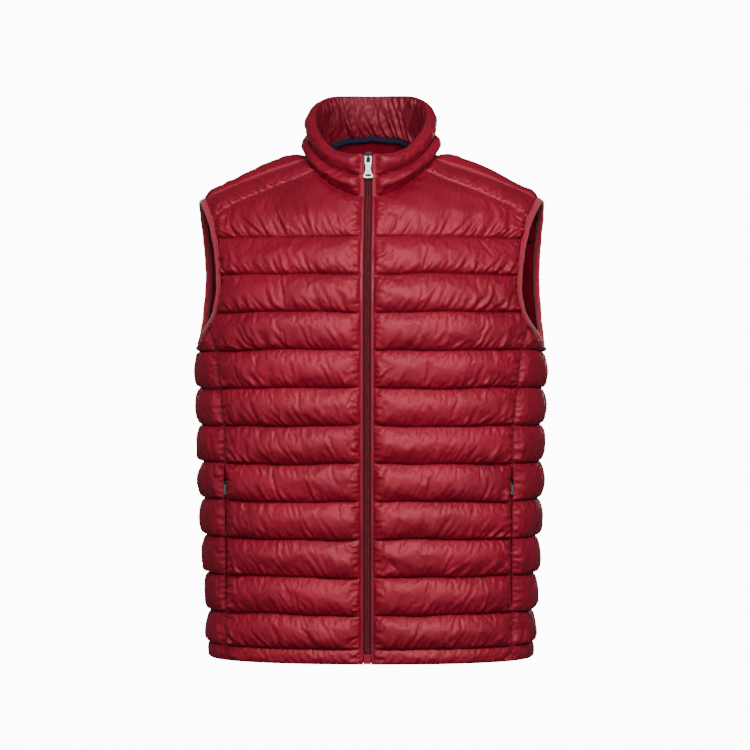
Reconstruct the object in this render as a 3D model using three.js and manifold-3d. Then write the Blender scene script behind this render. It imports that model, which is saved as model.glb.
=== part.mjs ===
// A quilted puffer vest, filled out and zipped up as it is worn, in millimetres.
// The frame has +X to the wearer's left, -Y to the front and +Z up. The origin lies midway between
// the neck ends of the two shoulder lines, where the wearer's shoulders carry the vest.
// Each cut piece is a padded wall on one smooth body surface: its inner face lies on that surface
// and its outer face stands off it, 3 mm at a line of stitches and 11 mm in the middle of a channel.
import * as THREE from "three";
import { mergeVertices } from "three/addons/utils/BufferGeometryUtils.js";
import Module from "manifold-3d";

const wasm = await Module();
wasm.setup();

// Driving dimensions of the quilting
const HEM_Z = -619;
const HEM_STITCH_Z = -600.5;
const LOWEST_CHANNEL_Z = -559.5;
const CHANNEL_PITCH = 45.8;
const CHANNELS = 10;
const CHEST_LINE_Z = LOWEST_CHANNEL_Z + CHANNELS * CHANNEL_PITCH;
const SIDE_LINE_Z = CHEST_LINE_Z - 3 * CHANNEL_PITCH;
const ARMHOLE_CORNER_Z = SIDE_LINE_Z + 0.75 * CHANNEL_PITCH;
const SEAM_THICKNESS = 3;
const PUFF = 8;
const SEAM_GAP = 0.34;
const SHOULDER = [0.25, 0.75];

// Driving dimensions of the body surface
const SECTION_POWER = 2.35;
const FRONT_DROP = { height: 200, power: 1.6 };
const BACK_DROP = { height: 170, power: 1.7 };
const TORSO = [
  { z: -620, halfWidth: 198, front: 134, back: 110 },
  { z: -600, halfWidth: 199, front: 134, back: 110 },
  { z: -580, halfWidth: 196, front: 134.5, back: 109 },
  { z: -560, halfWidth: 197, front: 135, back: 109 },
  { z: -500, halfWidth: 201, front: 137, back: 108 },
  { z: -450, halfWidth: 204, front: 139.5, back: 108 },
  { z: -400, halfWidth: 206, front: 141, back: 109 },
  { z: -350, halfWidth: 208, front: 142.5, back: 112 },
  { z: -300, halfWidth: 210, front: 143, back: 115.5 },
  { z: -240, halfWidth: 212, front: 143, back: 119 },
  { z: -205, halfWidth: 214, front: 143, back: 120 },
  { z: -160, halfWidth: 219, front: 142, back: 120 },
  { z: -100, halfWidth: 232, front: 142, back: 120 },
  { z: -40, halfWidth: 255, front: 142, back: 120 },
  { z: 40, halfWidth: 265, front: 142, back: 120 },
];

// The top line of the body surface: across the neck hole, then down each shoulder
const NECK_RIDGE = [
  { x: 0, front: 20, back: 70 },
  { x: 30, front: 17.5, back: 61 },
  { x: 50, front: 13.5, back: 44 },
  { x: 65, front: 9, back: 22 },
  { x: 78, front: 4.5, back: 4.5 },
];
const SHOULDER_RIDGE = [
  { x: 78, z: 4.5 },
  { x: 90, z: -1.5 },
  { x: 110, z: -9.5 },
  { x: 130, z: -17 },
  { x: 150, z: -24.5 },
  { x: 180, z: -37 },
  { x: 203, z: -48 },
  { x: 216, z: -56 },
  { x: 230, z: -66 },
];

// Seams and edges of the cut pieces
const NECK_HALF_WIDTH = 78;
const NECK_FRONT = 93;
const NECK_BACK = 66;
const YOKE_CORNER_DEG = 56.5;
const SHOULDER_CORNER_DEG = 77;
const FRONT_NECK_DEG = [15, 30, 45, YOKE_CORNER_DEG];
const YOKE_NECK_DEG = [YOKE_CORNER_DEG, 66.5, SHOULDER_CORNER_DEG];
const BACK_NECK_DEG = [180, 156, 132, 110, 92, SHOULDER_CORNER_DEG];
const BACK_COLUMNS = [
  { share: 0, puff: 1, bow: 0 },
  { share: 0.12, puff: 1, bow: 0 },
  { share: 0.23, puff: 1, bow: 0 },
  { share: 0.32, puff: 1, bow: 10 },
  { share: 0.4, puff: 1, bow: 40 },
  { share: 0.48, puff: 1, bow: 60 },
  { share: 0.64, puff: 1, bow: 20 },
  { share: 0.82, puff: 0.75, bow: 0 },
  { share: 1, puff: 0, bow: 0 },
];
const SIDE_SEAMS = [
  { z: -620, front: 174, back: 172 },
  { z: -560, front: 173, back: 172 },
  { z: -450, front: 173, back: 172 },
  { z: -376, front: 174, back: 173 },
  { z: -330, front: 176, back: 178 },
  { z: -285, front: 180, back: 187 },
  { z: -239, front: 185.5, back: 199 },
  { z: -205, front: 194, back: 210.8 },
];
const FRONT_ARMHOLE = [
  { z: -205, x: 194 },
  { z: -193, x: 188.5 },
  { z: -179, x: 185.5 },
  { z: -160, x: 184 },
  { z: -140, x: 185 },
  { z: -119, x: 188 },
  { z: -101.5, x: 191.5 },
  { z: -86, x: 195.5 },
  { z: -79, x: 198 },
];
const BACK_ARMHOLE = [
  { z: -205, x: 210.8 },
  { z: -185, x: 209.3 },
  { z: -165, x: 208 },
  { z: -146, x: 207.5 },
  { z: -125, x: 208 },
  { z: -101.5, x: 210.3 },
];
const UNDERARM = [
  { along: 0, z: ARMHOLE_CORNER_Z },
  { along: 0.2, z: -215 },
  { along: 0.4, z: -224 },
  { along: 0.6, z: -230 },
  { along: 0.8, z: -226 },
  { along: 1, z: ARMHOLE_CORNER_Z },
];
const YOKE_SEAM = [
  { x: 65, z: -17 },
  { x: 85, z: -26 },
  { x: 104, z: -33 },
  { x: 135, z: -45 },
  { x: 166, z: -58.5 },
  { x: 184, z: -69 },
  { x: 198, z: -79 },
];
const SHOULDER_SEAM = { neckY: -21, tipY: -8, tipX: 210 };
const BACK_SHOULDER_TIP = [
  { along: 0, x: 210.3 },
  { along: 0.35, x: 213 },
  { along: 0.7, x: 213.5 },
  { along: 1, x: 210 },
];

// Collar, as rim heights round the neck from the zip to the centre back
const RIM_HALF_WIDTH = 70;
const RIM_FRONT = 93;
const RIM_BACK = 60;
const COLLAR_RIM = [
  { deg: 0, z: 1 },
  { deg: 20, z: 2 },
  { deg: 39, z: 9 },
  { deg: 56, z: 24 },
  { deg: 70, z: 37 },
  { deg: 90, z: 56 },
  { deg: 110, z: 72 },
  { deg: 132, z: 82 },
  { deg: 156, z: 84.5 },
  { deg: 180, z: 84.5 },
];
const COLLAR_PUFF = 8.5;
const COLLAR_LINING = { thickness: 1.5, puff: 3, frontX: 16, gap: 0.6 };

// Zips and their metal
const ZIP_EDGE_X = 4.9;
const ZIP_STITCH_X = 9.5;
const CHAIN_GAP = 0.2;
const CHAIN_HALF_WIDTH = 3;
const CHAIN_TOP_UP = 0.88;
const TAPE_INNER_X = 3.35;
const TAPE_OUTER_X = 14;
const TAPE_TOP_UP = 0.97;
const SLIDER_UP = 0.93;
const CHAIN_BOTTOM_Z = -606;
const MAIN_SLIDER = {
  width: 9,
  length: 12,
  plate: 1.2,
  front: 1.9,
  back: 2.3,
  bridgeWidth: 2,
  bridgeReach: 3.8,
  bridgeHeight: 3.4,
  bridgeWall: 1.2,
};
const MAIN_PULL = {
  length: 26,
  topWidth: 8.4,
  waistWidth: 6.2,
  footWidth: 12.4,
  thickness: 1.3,
  windowWidth: 4.6,
  windowLength: 7,
  slotWidth: 8,
  slotHeight: 2.6,
};
const POCKET = {
  topZ: -388,
  bottomZ: -548,
  halfGap: 3.2,
  overrun: 13,
  tapeReach: 8,
  sliderZ: -399,
};
const POCKET_SLIDER = {
  width: 5,
  length: 8,
  plate: 1.2,
  front: 0.3,
  back: null,
  bridgeWidth: 1.2,
  bridgeReach: 3,
  bridgeHeight: 2.9,
  bridgeWall: 0.8,
};
const POCKET_PULL = {
  length: 16,
  topWidth: 4.4,
  waistWidth: 3.4,
  footWidth: 4.6,
  thickness: 1.1,
  windowWidth: 2.6,
  windowLength: 4.4,
  slotWidth: 2.4,
  slotHeight: 1.4,
};

const SHELL_RED = 0x96283a;
const LINING_RED = 0x8a2232;
const BINDING_RED = 0xa23a48;
const NAVY = 0x20233f;
const ZIP_MAROON = 0x4a1420;
const GUNMETAL = 0x35343a;
const SILVER = 0xc9c9cc;

const cloth = (color, roughness = 0.5) =>
  new THREE.MeshStandardMaterial({ color, roughness, metalness: 0 });
const metal = (color, roughness = 0.3) =>
  new THREE.MeshStandardMaterial({ color, roughness, metalness: 1 });

const lerp = THREE.MathUtils.lerp;
const rad = THREE.MathUtils.degToRad;
const mix = (a, b, t) => new THREE.Vector3().lerpVectors(a, b, t);

// A smooth curve through the rows of a table, level beyond its ends
function curve(table, key, column) {
  const at = table.map((row) => row[key]);
  const value = table.map((row) => row[column]);
  const last = table.length - 1;
  const slope = at.map((_, i) => {
    const before = Math.max(i - 1, 0);
    const after = Math.min(i + 1, last);
    return (value[after] - value[before]) / (at[after] - at[before]);
  });
  return (here) => {
    const x = THREE.MathUtils.clamp(here, at[0], at[last]);
    let i = 0;
    while (i < last - 1 && x > at[i + 1]) i += 1;
    const width = at[i + 1] - at[i];
    const t = (x - at[i]) / width;
    const rise = value[i + 1] - value[i];
    const startBend = slope[i] * width - rise;
    const endBend = rise - slope[i + 1] * width;
    return lerp(value[i], value[i + 1], t) + t * (1 - t) * ((1 - t) * startBend + t * endBend);
  };
}

const halfWidthAt = curve(TORSO, "z", "halfWidth");
const frontDepthAt = curve(TORSO, "z", "front");
const backDepthAt = curve(TORSO, "z", "back");
const neckRidgeFront = curve(NECK_RIDGE, "x", "front");
const neckRidgeBack = curve(NECK_RIDGE, "x", "back");
const shoulderRidge = curve(SHOULDER_RIDGE, "x", "z");
const frontSeamX = curve(SIDE_SEAMS, "z", "front");
const backSeamX = curve(SIDE_SEAMS, "z", "back");
const frontArmholeX = curve(FRONT_ARMHOLE, "z", "x");
const backArmholeX = curve(BACK_ARMHOLE, "z", "x");
const underarmZ = curve(UNDERARM, "along", "z");
const yokeSeamZ = curve(YOKE_SEAM, "x", "z");
const backTipX = curve(BACK_SHOULDER_TIP, "along", "x");
const rimZ = curve(COLLAR_RIM, "deg", "z");

const FRONT = -1;
const BACK = 1;

// The height of the body surface's top line above a point x out from the middle
function ridge(side, x) {
  const out = Math.abs(x);
  if (out >= NECK_HALF_WIDTH) return shoulderRidge(out);
  return side === FRONT ? neckRidgeFront(out) : neckRidgeBack(out);
}

const dropOf = (side) => (side === FRONT ? FRONT_DROP : BACK_DROP);

// How far the chest or back stands out at a height, from nothing at the ridge to its full depth
function depth(side, x, z) {
  const { height, power } = dropOf(side);
  const drop = THREE.MathUtils.clamp((ridge(side, x) - z) / height, 0, 1);
  const full = side === FRONT ? frontDepthAt(z) : backDepthAt(z);
  return full * (1 - (1 - drop) ** power) ** (1 / power);
}

// The share of that depth left at x, as a rounded section narrows to the side
function narrowing(x, z) {
  const share = Math.min(Math.abs(x) / halfWidthAt(z), 1);
  return (1 - share ** SECTION_POWER) ** (1 / SECTION_POWER);
}

function bodyPoint(side, x, z) {
  return new THREE.Vector3(x, side * depth(side, x, z) * narrowing(x, z), z);
}

// The turn round a section that gives x, a quarter turn at the middle and nothing at the side
function turnOf(x, z) {
  return Math.acos(Math.min((Math.abs(x) / halfWidthAt(z)) ** (SECTION_POWER / 2), 1));
}

// A point by its turn: positive in front of the side, negative behind it
function turnPoint(turn, z) {
  const side = turn > 0 ? FRONT : BACK;
  const x = halfWidthAt(z) * Math.cos(turn) ** (2 / SECTION_POWER);
  const share = Math.abs(Math.sin(turn)) ** (2 / SECTION_POWER);
  return new THREE.Vector3(x, side * depth(side, x, z) * share, z);
}

// The height at which the surface at x reaches a depth of y
function heightAtDepth(side, x, y) {
  let high = ridge(side, x);
  let low = high - dropOf(side).height;
  for (let i = 0; i < 40; i += 1) {
    const middle = (high + low) / 2;
    if (Math.abs(bodyPoint(side, x, middle).y) < Math.abs(y)) high = middle;
    else low = middle;
  }
  return (high + low) / 2;
}

// The outward normal of the body surface
function bodyNormal(side, p) {
  const x = Math.abs(p.x);
  if (ridge(side, x) - p.z < 0.5) {
    const slope = (ridge(side, x + 0.5) - ridge(side, x - 0.5)) * Math.sign(p.x || 1);
    return new THREE.Vector3(-slope, 0, 1).normalize();
  }
  const level = (qx, qy, qz) =>
    (Math.abs(qy) / 100) ** SECTION_POWER -
    (depth(side, qx, qz) / 100) ** SECTION_POWER *
      (1 - (Math.abs(qx) / halfWidthAt(qz)) ** SECTION_POWER);
  const h = 0.2;
  return new THREE.Vector3(
    level(p.x + h, p.y, p.z) - level(p.x - h, p.y, p.z),
    level(p.x, p.y + h, p.z) - level(p.x, p.y - h, p.z),
    level(p.x, p.y, p.z + h) - level(p.x, p.y, p.z - h),
  ).normalize();
}

// The neckline, as an oval seen from above that lies on the body surface
function neckPoint(deg) {
  const reach = deg < 90 ? NECK_FRONT : NECK_BACK;
  const x = NECK_HALF_WIDTH * Math.sin(rad(deg));
  const y = -reach * Math.cos(rad(deg));
  const side = deg < 90 ? FRONT : BACK;
  return new THREE.Vector3(x, y, heightAtDepth(side, x, y));
}

const degOfX = (x, halfWidth) => THREE.MathUtils.radToDeg(Math.asin(x / halfWidth));

// The collar's body side, at a turn round the neck and a share of its height
function collarPoint(deg, up) {
  const reach = deg < 90 ? RIM_FRONT : RIM_BACK;
  const rim = new THREE.Vector3(
    RIM_HALF_WIDTH * Math.sin(rad(deg)),
    -reach * Math.cos(rad(deg)),
    rimZ(deg),
  );
  return mix(neckPoint(deg), rim, up);
}

// The same for a column that keeps its distance from the zip
function collarPointAtX(x, up) {
  const low = neckPoint(degOfX(x, NECK_HALF_WIDTH));
  const high = collarPoint(degOfX(x, RIM_HALF_WIDTH), 1);
  return mix(low, high, up);
}

function collarNormal(deg, up) {
  const step = 1.5;
  const from = Math.max(deg - step, 0);
  const to = Math.min(deg + step, 180);
  const along = collarPoint(to, up).sub(collarPoint(from, up));
  const rise = collarPoint(deg, 1).sub(collarPoint(deg, 0));
  if (deg < step) along.setY(0).setZ(0);
  if (deg > 180 - step) along.setY(0).setZ(0);
  return along.cross(rise).normalize();
}

// Panels and collar turn into each other at the neckline, so both use the direction between
function neckMitre(deg) {
  const side = deg < 90 ? FRONT : BACK;
  return bodyNormal(side, neckPoint(deg)).add(collarNormal(deg, 0)).normalize();
}

// Heights of the rows of a panel: the hem, then three for each channel
function channelRows(topZ) {
  const rows = [
    { z: HEM_Z, puff: 0.3 },
    { z: HEM_STITCH_Z, puff: 0 },
  ];
  const lines = [HEM_STITCH_Z];
  for (let i = 0; i <= CHANNELS; i += 1) lines.push(LOWEST_CHANNEL_Z + i * CHANNEL_PITCH);
  for (let i = 0; i + 1 < lines.length && lines[i] < topZ - 1; i += 1) {
    for (const share of SHOULDER) rows.push({ z: lerp(lines[i], lines[i + 1], share), puff: 1 });
    rows.push({ z: lines[i + 1], puff: 0 });
  }
  return rows;
}

const cell = (point, normal, thickness) => ({ point, normal, thickness });
const padding = (rowPuff, columnPuff) => SEAM_THICKNESS + PUFF * rowPuff * columnPuff;

const ZIP_COLUMNS = [
  { x: ZIP_EDGE_X, puff: 0 },
  { x: ZIP_STITCH_X, puff: 0 },
];
const NECK_COLUMN_PUFF = [0.8, 1, 1, 1];
const YOKE_COLUMN_X = [108, 153, 198];
const YOKE_COLUMN_PUFF = [1, 0.75, 0];

// The front panel: columns from the zip to the side seam, rows from the hem to the neck and yoke
function frontGrid() {
  const topX = FRONT_NECK_DEG.map((deg) => neckPoint(deg).x).concat(YOKE_COLUMN_X);
  const puffs = NECK_COLUMN_PUFF.concat(YOKE_COLUMN_PUFF);
  const cornerX = YOKE_COLUMN_X[YOKE_COLUMN_X.length - 1];
  const cornerZ = yokeSeamZ(cornerX);
  const shares = topX.map((x) => (x - ZIP_STITCH_X) / (cornerX - ZIP_STITCH_X));
  const edgeX = (z) => (z > ARMHOLE_CORNER_Z ? frontArmholeX(z) : frontSeamX(z));
  const rowCells = (z, puff) => {
    const across = ZIP_COLUMNS.map((c) => c.x).concat(
      shares.map((share) => lerp(ZIP_STITCH_X, edgeX(z), share)),
    );
    const columnPuffs = [0, 0, ...puffs];
    return across.map((x, j) => {
      const point = bodyPoint(FRONT, x, z);
      return cell(point, bodyNormal(FRONT, point), padding(puff, columnPuffs[j]));
    });
  };
  const rows = channelRows(CHEST_LINE_Z).map((row) => rowCells(row.z, row.puff));
  const topOf = (j) => {
    if (j < 2) {
      const deg = degOfX(ZIP_COLUMNS[j].x, NECK_HALF_WIDTH);
      return { point: neckPoint(deg), normal: neckMitre(deg) };
    }
    const k = j - 2;
    if (k < FRONT_NECK_DEG.length) {
      const deg = FRONT_NECK_DEG[k];
      return { point: neckPoint(deg), normal: neckMitre(deg) };
    }
    const point = bodyPoint(FRONT, topX[k], yokeSeamZ(topX[k]));
    return { point, normal: bodyNormal(FRONT, point) };
  };
  const patch = [
    { up: 0.2, puff: 0.8 },
    { up: 0.5, puff: 1 },
    { up: 0.8, puff: 0.8 },
    { up: 1, puff: 0 },
  ];
  const chest = rows[rows.length - 1];
  for (const { up, puff } of patch) {
    const sideX = frontArmholeX(lerp(CHEST_LINE_Z, cornerZ, up));
    const columnPuffs = [0, 0, ...puffs];
    rows.push(
      chest.map((below, j) => {
        const top = topOf(j);
        if (up === 1) return cell(top.point, top.normal, padding(0, 0));
        const z = lerp(CHEST_LINE_Z, top.point.z, up);
        const share = j < 2 ? 0 : shares[j - 2];
        const x = j < 2 ? ZIP_COLUMNS[j].x : lerp(ZIP_STITCH_X, sideX, share);
        const straight = lerp(below.point.x, top.point.x, up);
        const point = bodyPoint(FRONT, lerp(straight, x, share), z);
        return cell(point, bodyNormal(FRONT, point), padding(puff, columnPuffs[j]));
      }),
    );
  }
  return rows;
}

// The front yoke, from the yoke seam to the shoulder seam
function yokeGrid() {
  const low = [neckPoint(YOKE_CORNER_DEG)].concat(
    YOKE_COLUMN_X.map((x) => bodyPoint(FRONT, x, yokeSeamZ(x))),
  );
  const highX = shoulderSeamX();
  const rows = [];
  const ups = [0, 0.5, 1];
  ups.forEach((up, i) => {
    rows.push(
      low.map((foot, j) => {
        if (j === 0) {
          const deg = YOKE_NECK_DEG[i];
          return cell(neckPoint(deg), neckMitre(deg), SEAM_THICKNESS);
        }
        const seam = shoulderSeamPoint(highX[j]);
        const drop = lerp(ridge(FRONT, foot.x) - foot.z, ridge(FRONT, seam.x) - seam.z, up);
        const x = lerp(foot.x, seam.x, up);
        const point =
          up === 1 ? seam : up === 0 ? foot : bodyPoint(FRONT, x, ridge(FRONT, x) - drop);
        const atEdge = j === low.length - 1;
        const puff = up === 0.5 && !atEdge ? 1 : 0;
        return cell(point, bodyNormal(FRONT, point), padding(puff, 1));
      }),
    );
  });
  return rows;
}

function shoulderSeamX() {
  const neckX = neckPoint(SHOULDER_CORNER_DEG).x;
  const lastX = YOKE_COLUMN_X[YOKE_COLUMN_X.length - 1];
  const startX = neckPoint(YOKE_CORNER_DEG).x;
  const share = (x) => (x - startX) / (lastX - startX);
  return [neckX].concat(YOKE_COLUMN_X.map((x) => lerp(neckX, SHOULDER_SEAM.tipX, share(x))));
}

function shoulderSeamPoint(x) {
  const neck = neckPoint(SHOULDER_CORNER_DEG);
  const share = (x - neck.x) / (SHOULDER_SEAM.tipX - neck.x);
  if (share <= 0) return neck;
  const y = lerp(neck.y, SHOULDER_SEAM.tipY, share);
  return new THREE.Vector3(x, y, heightAtDepth(FRONT, x, y));
}

// The angle down a shoulder's rounded profile, positive behind the ridge and negative in front
function slopeAngle(side, x, z) {
  const { height, power } = dropOf(side);
  const drop = THREE.MathUtils.clamp((ridge(side, x) - z) / height, 0, 1);
  return side * Math.acos((1 - drop) ** (power / 2));
}

function slopePoint(angle, x) {
  const side = angle < 0 ? FRONT : BACK;
  const { height, power } = dropOf(side);
  const drop = height * (1 - Math.cos(Math.abs(angle)) ** (2 / power));
  return bodyPoint(side, x, ridge(side, x) - drop);
}

// Half of the back, from the centre to the side seam and armhole, over the shoulder to its seam
function backHalf() {
  const tops = BACK_NECK_DEG.map((deg) => ({ point: neckPoint(deg), normal: neckMitre(deg) }));
  for (const x of shoulderSeamX().slice(1)) {
    const point = shoulderSeamPoint(x);
    tops.push({ point, normal: bodyNormal(FRONT, point) });
  }
  const edgeX = (z) => (z > ARMHOLE_CORNER_Z ? backArmholeX(z) : backSeamX(z));
  const rows = channelRows(CHEST_LINE_Z).map((row) => {
    const edgeTurn = turnOf(edgeX(row.z), row.z);
    return BACK_COLUMNS.map(({ share, puff }) => {
      const point = turnPoint(-lerp(Math.PI / 2, edgeTurn, share), row.z);
      return cell(point, bodyNormal(BACK, point), padding(row.puff, puff));
    });
  });
  const chest = rows[rows.length - 1];
  const lines = 3;
  for (let line = 0; line < lines; line += 1) {
    for (const share of [...SHOULDER, 1]) {
      const up = (line + share) / lines;
      const puff = share === 1 ? 0 : 1;
      rows.push(
        chest.map((below, j) => {
          const top = tops[j];
          const column = BACK_COLUMNS[j];
          if (up === 1) return cell(top.point, top.normal, SEAM_THICKNESS);
          const straight = lerp(below.point.x, top.point.x, up) + column.bow * up ** 3 * (1 - up);
          const x = lerp(straight, backTipX(up), column.share ** 4);
          const topSide = top.point.y < 0 ? FRONT : BACK;
          const from = slopeAngle(BACK, below.point.x, below.point.z);
          const to = slopeAngle(topSide, top.point.x, top.point.z);
          const angle = lerp(from, to, up);
          const point = slopePoint(angle, x);
          const room = SEAM_THICKNESS / 2 + 0.7 * point.distanceTo(top.point);
          const thickness = Math.min(padding(puff, column.puff), room);
          return cell(point, bodyNormal(angle < 0 ? FRONT : BACK, point), thickness);
        }),
      );
    }
  }
  return rows;
}

const mirrorCell = (c) => ({
  ...c,
  point: c.point.clone().setX(-c.point.x),
  normal: c.normal.clone().setX(-c.normal.x),
});
const mirrored = (rows) => rows.map((row) => row.map(mirrorCell));

function backGrid() {
  return backHalf().map((row) => {
    const other = row.slice(1).map(mirrorCell).reverse();
    return other.concat(row);
  });
}

// The side panel, from the front side seam round to the back one
const SIDE_COLUMNS = [0, 0.2, 0.4, 0.6, 0.8, 1];
function sideGrid() {
  const turnAt = (z, along) =>
    lerp(turnOf(frontSeamX(z), z), -turnOf(backSeamX(z), z), along);
  const sideCell = (turn, z, thickness) => {
    const point = turnPoint(turn, z);
    return cell(point, bodyNormal(turn > 0 ? FRONT : BACK, point), thickness);
  };
  const inner = (along) => (along > 0 && along < 1 ? 1 : 0);
  const rows = channelRows(SIDE_LINE_Z).map((row) =>
    SIDE_COLUMNS.map((along) =>
      sideCell(turnAt(row.z, along), row.z, padding(row.puff, inner(along))),
    ),
  );
  for (const up of [1 / 3, 1]) {
    const seamZ = lerp(SIDE_LINE_Z, ARMHOLE_CORNER_Z, up);
    rows.push(
      SIDE_COLUMNS.map((along) => {
        const z = lerp(SIDE_LINE_Z, underarmZ(along), up);
        return sideCell(turnAt(seamZ, along), z, SEAM_THICKNESS);
      }),
    );
  }
  return rows;
}

// The collar's columns from the left zip edge round the back, and its rows from neck to rim
const COLLAR_DEG = [...FRONT_NECK_DEG, 66.5, SHOULDER_CORNER_DEG, 92, 110, 132, 156, 180];
const COLLAR_ROWS = [
  { up: 0, puff: 0 },
  { up: 0.14, puff: 0.42 },
  { up: 0.32, puff: 1 },
  { up: 0.5, puff: 0 },
  { up: 0.64, puff: 1 },
  { up: 0.86, puff: 1 },
  { up: 1, puff: 0.2 },
];

function wholeRing(half) {
  return half.concat(half.slice(0, -1).map(mirrorCell).reverse());
}

function collarGrid() {
  return COLLAR_ROWS.map(({ up, puff }) => {
    const zipCells = ZIP_COLUMNS.map(({ x }) => {
      const deg = degOfX(x, lerp(NECK_HALF_WIDTH, RIM_HALF_WIDTH, up));
      const normal = up === 0 ? neckMitre(deg) : collarNormal(deg, up);
      return cell(collarPointAtX(x, up), normal, SEAM_THICKNESS);
    });
    const cells = COLLAR_DEG.map((deg, j) => {
      const normal = up === 0 ? neckMitre(deg) : collarNormal(deg, up);
      const share = j === 0 ? 0.8 : 1;
      return cell(collarPoint(deg, up), normal, SEAM_THICKNESS + COLLAR_PUFF * puff * share);
    });
    return wholeRing(zipCells.concat(cells));
  });
}

// The collar's lining, a thinner wall just inside it that stops above the neck tape
function collarLiningGrid() {
  const rows = [
    { up: 0.08, puff: 0 },
    { up: 0.25, puff: 1 },
    { up: 0.5, puff: 0.9 },
    { up: 0.8, puff: 1 },
    { up: 1, puff: 0 },
  ];
  return rows.map(({ up, puff }) => {
    const { thickness, puff: depthOfPuff, frontX } = COLLAR_LINING;
    const x = frontX;
    const deg = degOfX(x, lerp(NECK_HALF_WIDTH, RIM_HALF_WIDTH, up));
    const first = cell(collarPointAtX(x, up), collarNormal(deg, up), thickness);
    const cells = COLLAR_DEG.slice(1).map((at) =>
      cell(collarPoint(at, up), collarNormal(at, up), thickness + depthOfPuff * puff),
    );
    return wholeRing([first, ...cells]);
  });
}

// A closed wall between the two offsets of a grid, with faces turned outwards
function wall(rows, offsets) {
  const wide = rows[0].length;
  const high = rows.length;
  const position = [];
  for (const layer of [0, 1]) {
    for (const row of rows) {
      for (const c of row) {
        const p = c.point.clone().addScaledVector(c.normal, offsets(c)[layer]);
        position.push(p.x, p.y, p.z);
      }
    }
  }
  const id = (layer, i, j) => layer * wide * high + i * wide + j;
  const index = [];
  const at = (k) => new THREE.Vector3().fromArray(position, 3 * k);
  const span = (a, b) => at(a).distanceTo(at(b));
  const quad = (a, b, c, d) => {
    if (span(a, c) < span(b, d) + 1e-4) index.push(a, b, c, a, c, d);
    else index.push(a, b, d, b, c, d);
  };
  for (let i = 0; i + 1 < high; i += 1) {
    for (let j = 0; j + 1 < wide; j += 1) {
      quad(id(1, i, j), id(1, i, j + 1), id(1, i + 1, j + 1), id(1, i + 1, j));
      quad(id(0, i, j), id(0, i + 1, j), id(0, i + 1, j + 1), id(0, i, j + 1));
    }
  }
  for (let j = 0; j + 1 < wide; j += 1) {
    quad(id(0, 0, j), id(0, 0, j + 1), id(1, 0, j + 1), id(1, 0, j));
    quad(id(0, high - 1, j + 1), id(0, high - 1, j), id(1, high - 1, j), id(1, high - 1, j + 1));
  }
  for (let i = 0; i + 1 < high; i += 1) {
    quad(id(0, i + 1, 0), id(0, i, 0), id(1, i, 0), id(1, i + 1, 0));
    quad(id(0, i, wide - 1), id(0, i + 1, wide - 1), id(1, i + 1, wide - 1), id(1, i, wide - 1));
  }
  return facingOut(position, index);
}

function facingOut(position, index) {
  const at = (k) => new THREE.Vector3().fromArray(position, 3 * k);
  let volume = 0;
  for (let k = 0; k < index.length; k += 3) {
    volume += at(index[k]).dot(at(index[k + 1]).cross(at(index[k + 2])));
  }
  if (volume < 0) {
    for (let k = 0; k < index.length; k += 3) {
      [index[k + 1], index[k + 2]] = [index[k + 2], index[k + 1]];
    }
  }
  return new THREE.BufferGeometry()
    .setAttribute("position", new THREE.Float32BufferAttribute(position, 3))
    .setIndex(index);
}

// The direction in the wall that is square to an edge, lengthened where the edge turns
function squareMitre(before, c, after) {
  const squares = [
    [before, c.point],
    [c.point, after],
  ]
    .filter(([a, b]) => a.distanceTo(b) > 1e-6)
    .map(([a, b]) => new THREE.Vector3().crossVectors(c.normal, b.clone().sub(a)).normalize());
  const middle = squares.reduce((sum, v) => sum.add(v), new THREE.Vector3()).normalize();
  return middle.divideScalar(Math.max(middle.dot(squares[squares.length - 1]), 0.6));
}

// Draws the named edges of a grid back into the panel, square to the seam, to leave the seam's gap
function withGaps(rows, gaps) {
  const high = rows.length;
  const wide = rows[0].length;
  const line = {
    foot: { cells: rows[0], inside: rows[1] },
    head: { cells: rows[high - 1], inside: rows[high - 2] },
    first: { cells: rows.map((r) => r[0]), inside: rows.map((r) => r[1]) },
    last: { cells: rows.map((r) => r[wide - 1]), inside: rows.map((r) => r[wide - 2]) },
  };
  const moves = new Map();
  for (const [edge, gapOf] of Object.entries(gaps)) {
    const { cells, inside } = line[edge];
    cells.forEach((c, k) => {
      const before = cells[Math.max(k - 1, 0)];
      const after = cells[Math.min(k + 1, cells.length - 1)];
      const inward = squareMitre(before.point, c, after.point);
      if (inward.dot(inside[k].point.clone().sub(c.point)) < 0) inward.negate();
      const move = moves.get(c) ?? new THREE.Vector3();
      moves.set(c, move.addScaledVector(inward, gapOf(c)));
    });
  }
  return rows.map((row) =>
    row.map((c) => (moves.has(c) ? { ...c, point: c.point.clone().add(moves.get(c)) } : c)),
  );
}

const half = () => SEAM_GAP / 2;
const pocketGap = (c) =>
  c.point.z < POCKET.topZ + 1 && c.point.z > POCKET.bottomZ - 1 ? POCKET.halfGap : half();
const belowArmhole = (gap) => (c) => (c.point.z < ARMHOLE_CORNER_Z + 0.1 ? gap(c) : 0);

const padded = (c) => [0, c.thickness];

const group = new THREE.Group();
function add(name, geometry, material) {
  const mesh = new THREE.Mesh(geometry, material);
  mesh.name = name;
  group.add(mesh);
  return mesh;
}

function addPair(stem, rows, offsets, material) {
  add(`${stem}_left`, wall(rows, offsets), material);
  add(`${stem}_right`, wall(mirrored(rows), offsets), material);
}

const shell = cloth(SHELL_RED);
const front = frontGrid();
const yoke = yokeGrid();
const back = backGrid();
const side = sideGrid();
const collar = collarGrid();

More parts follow.
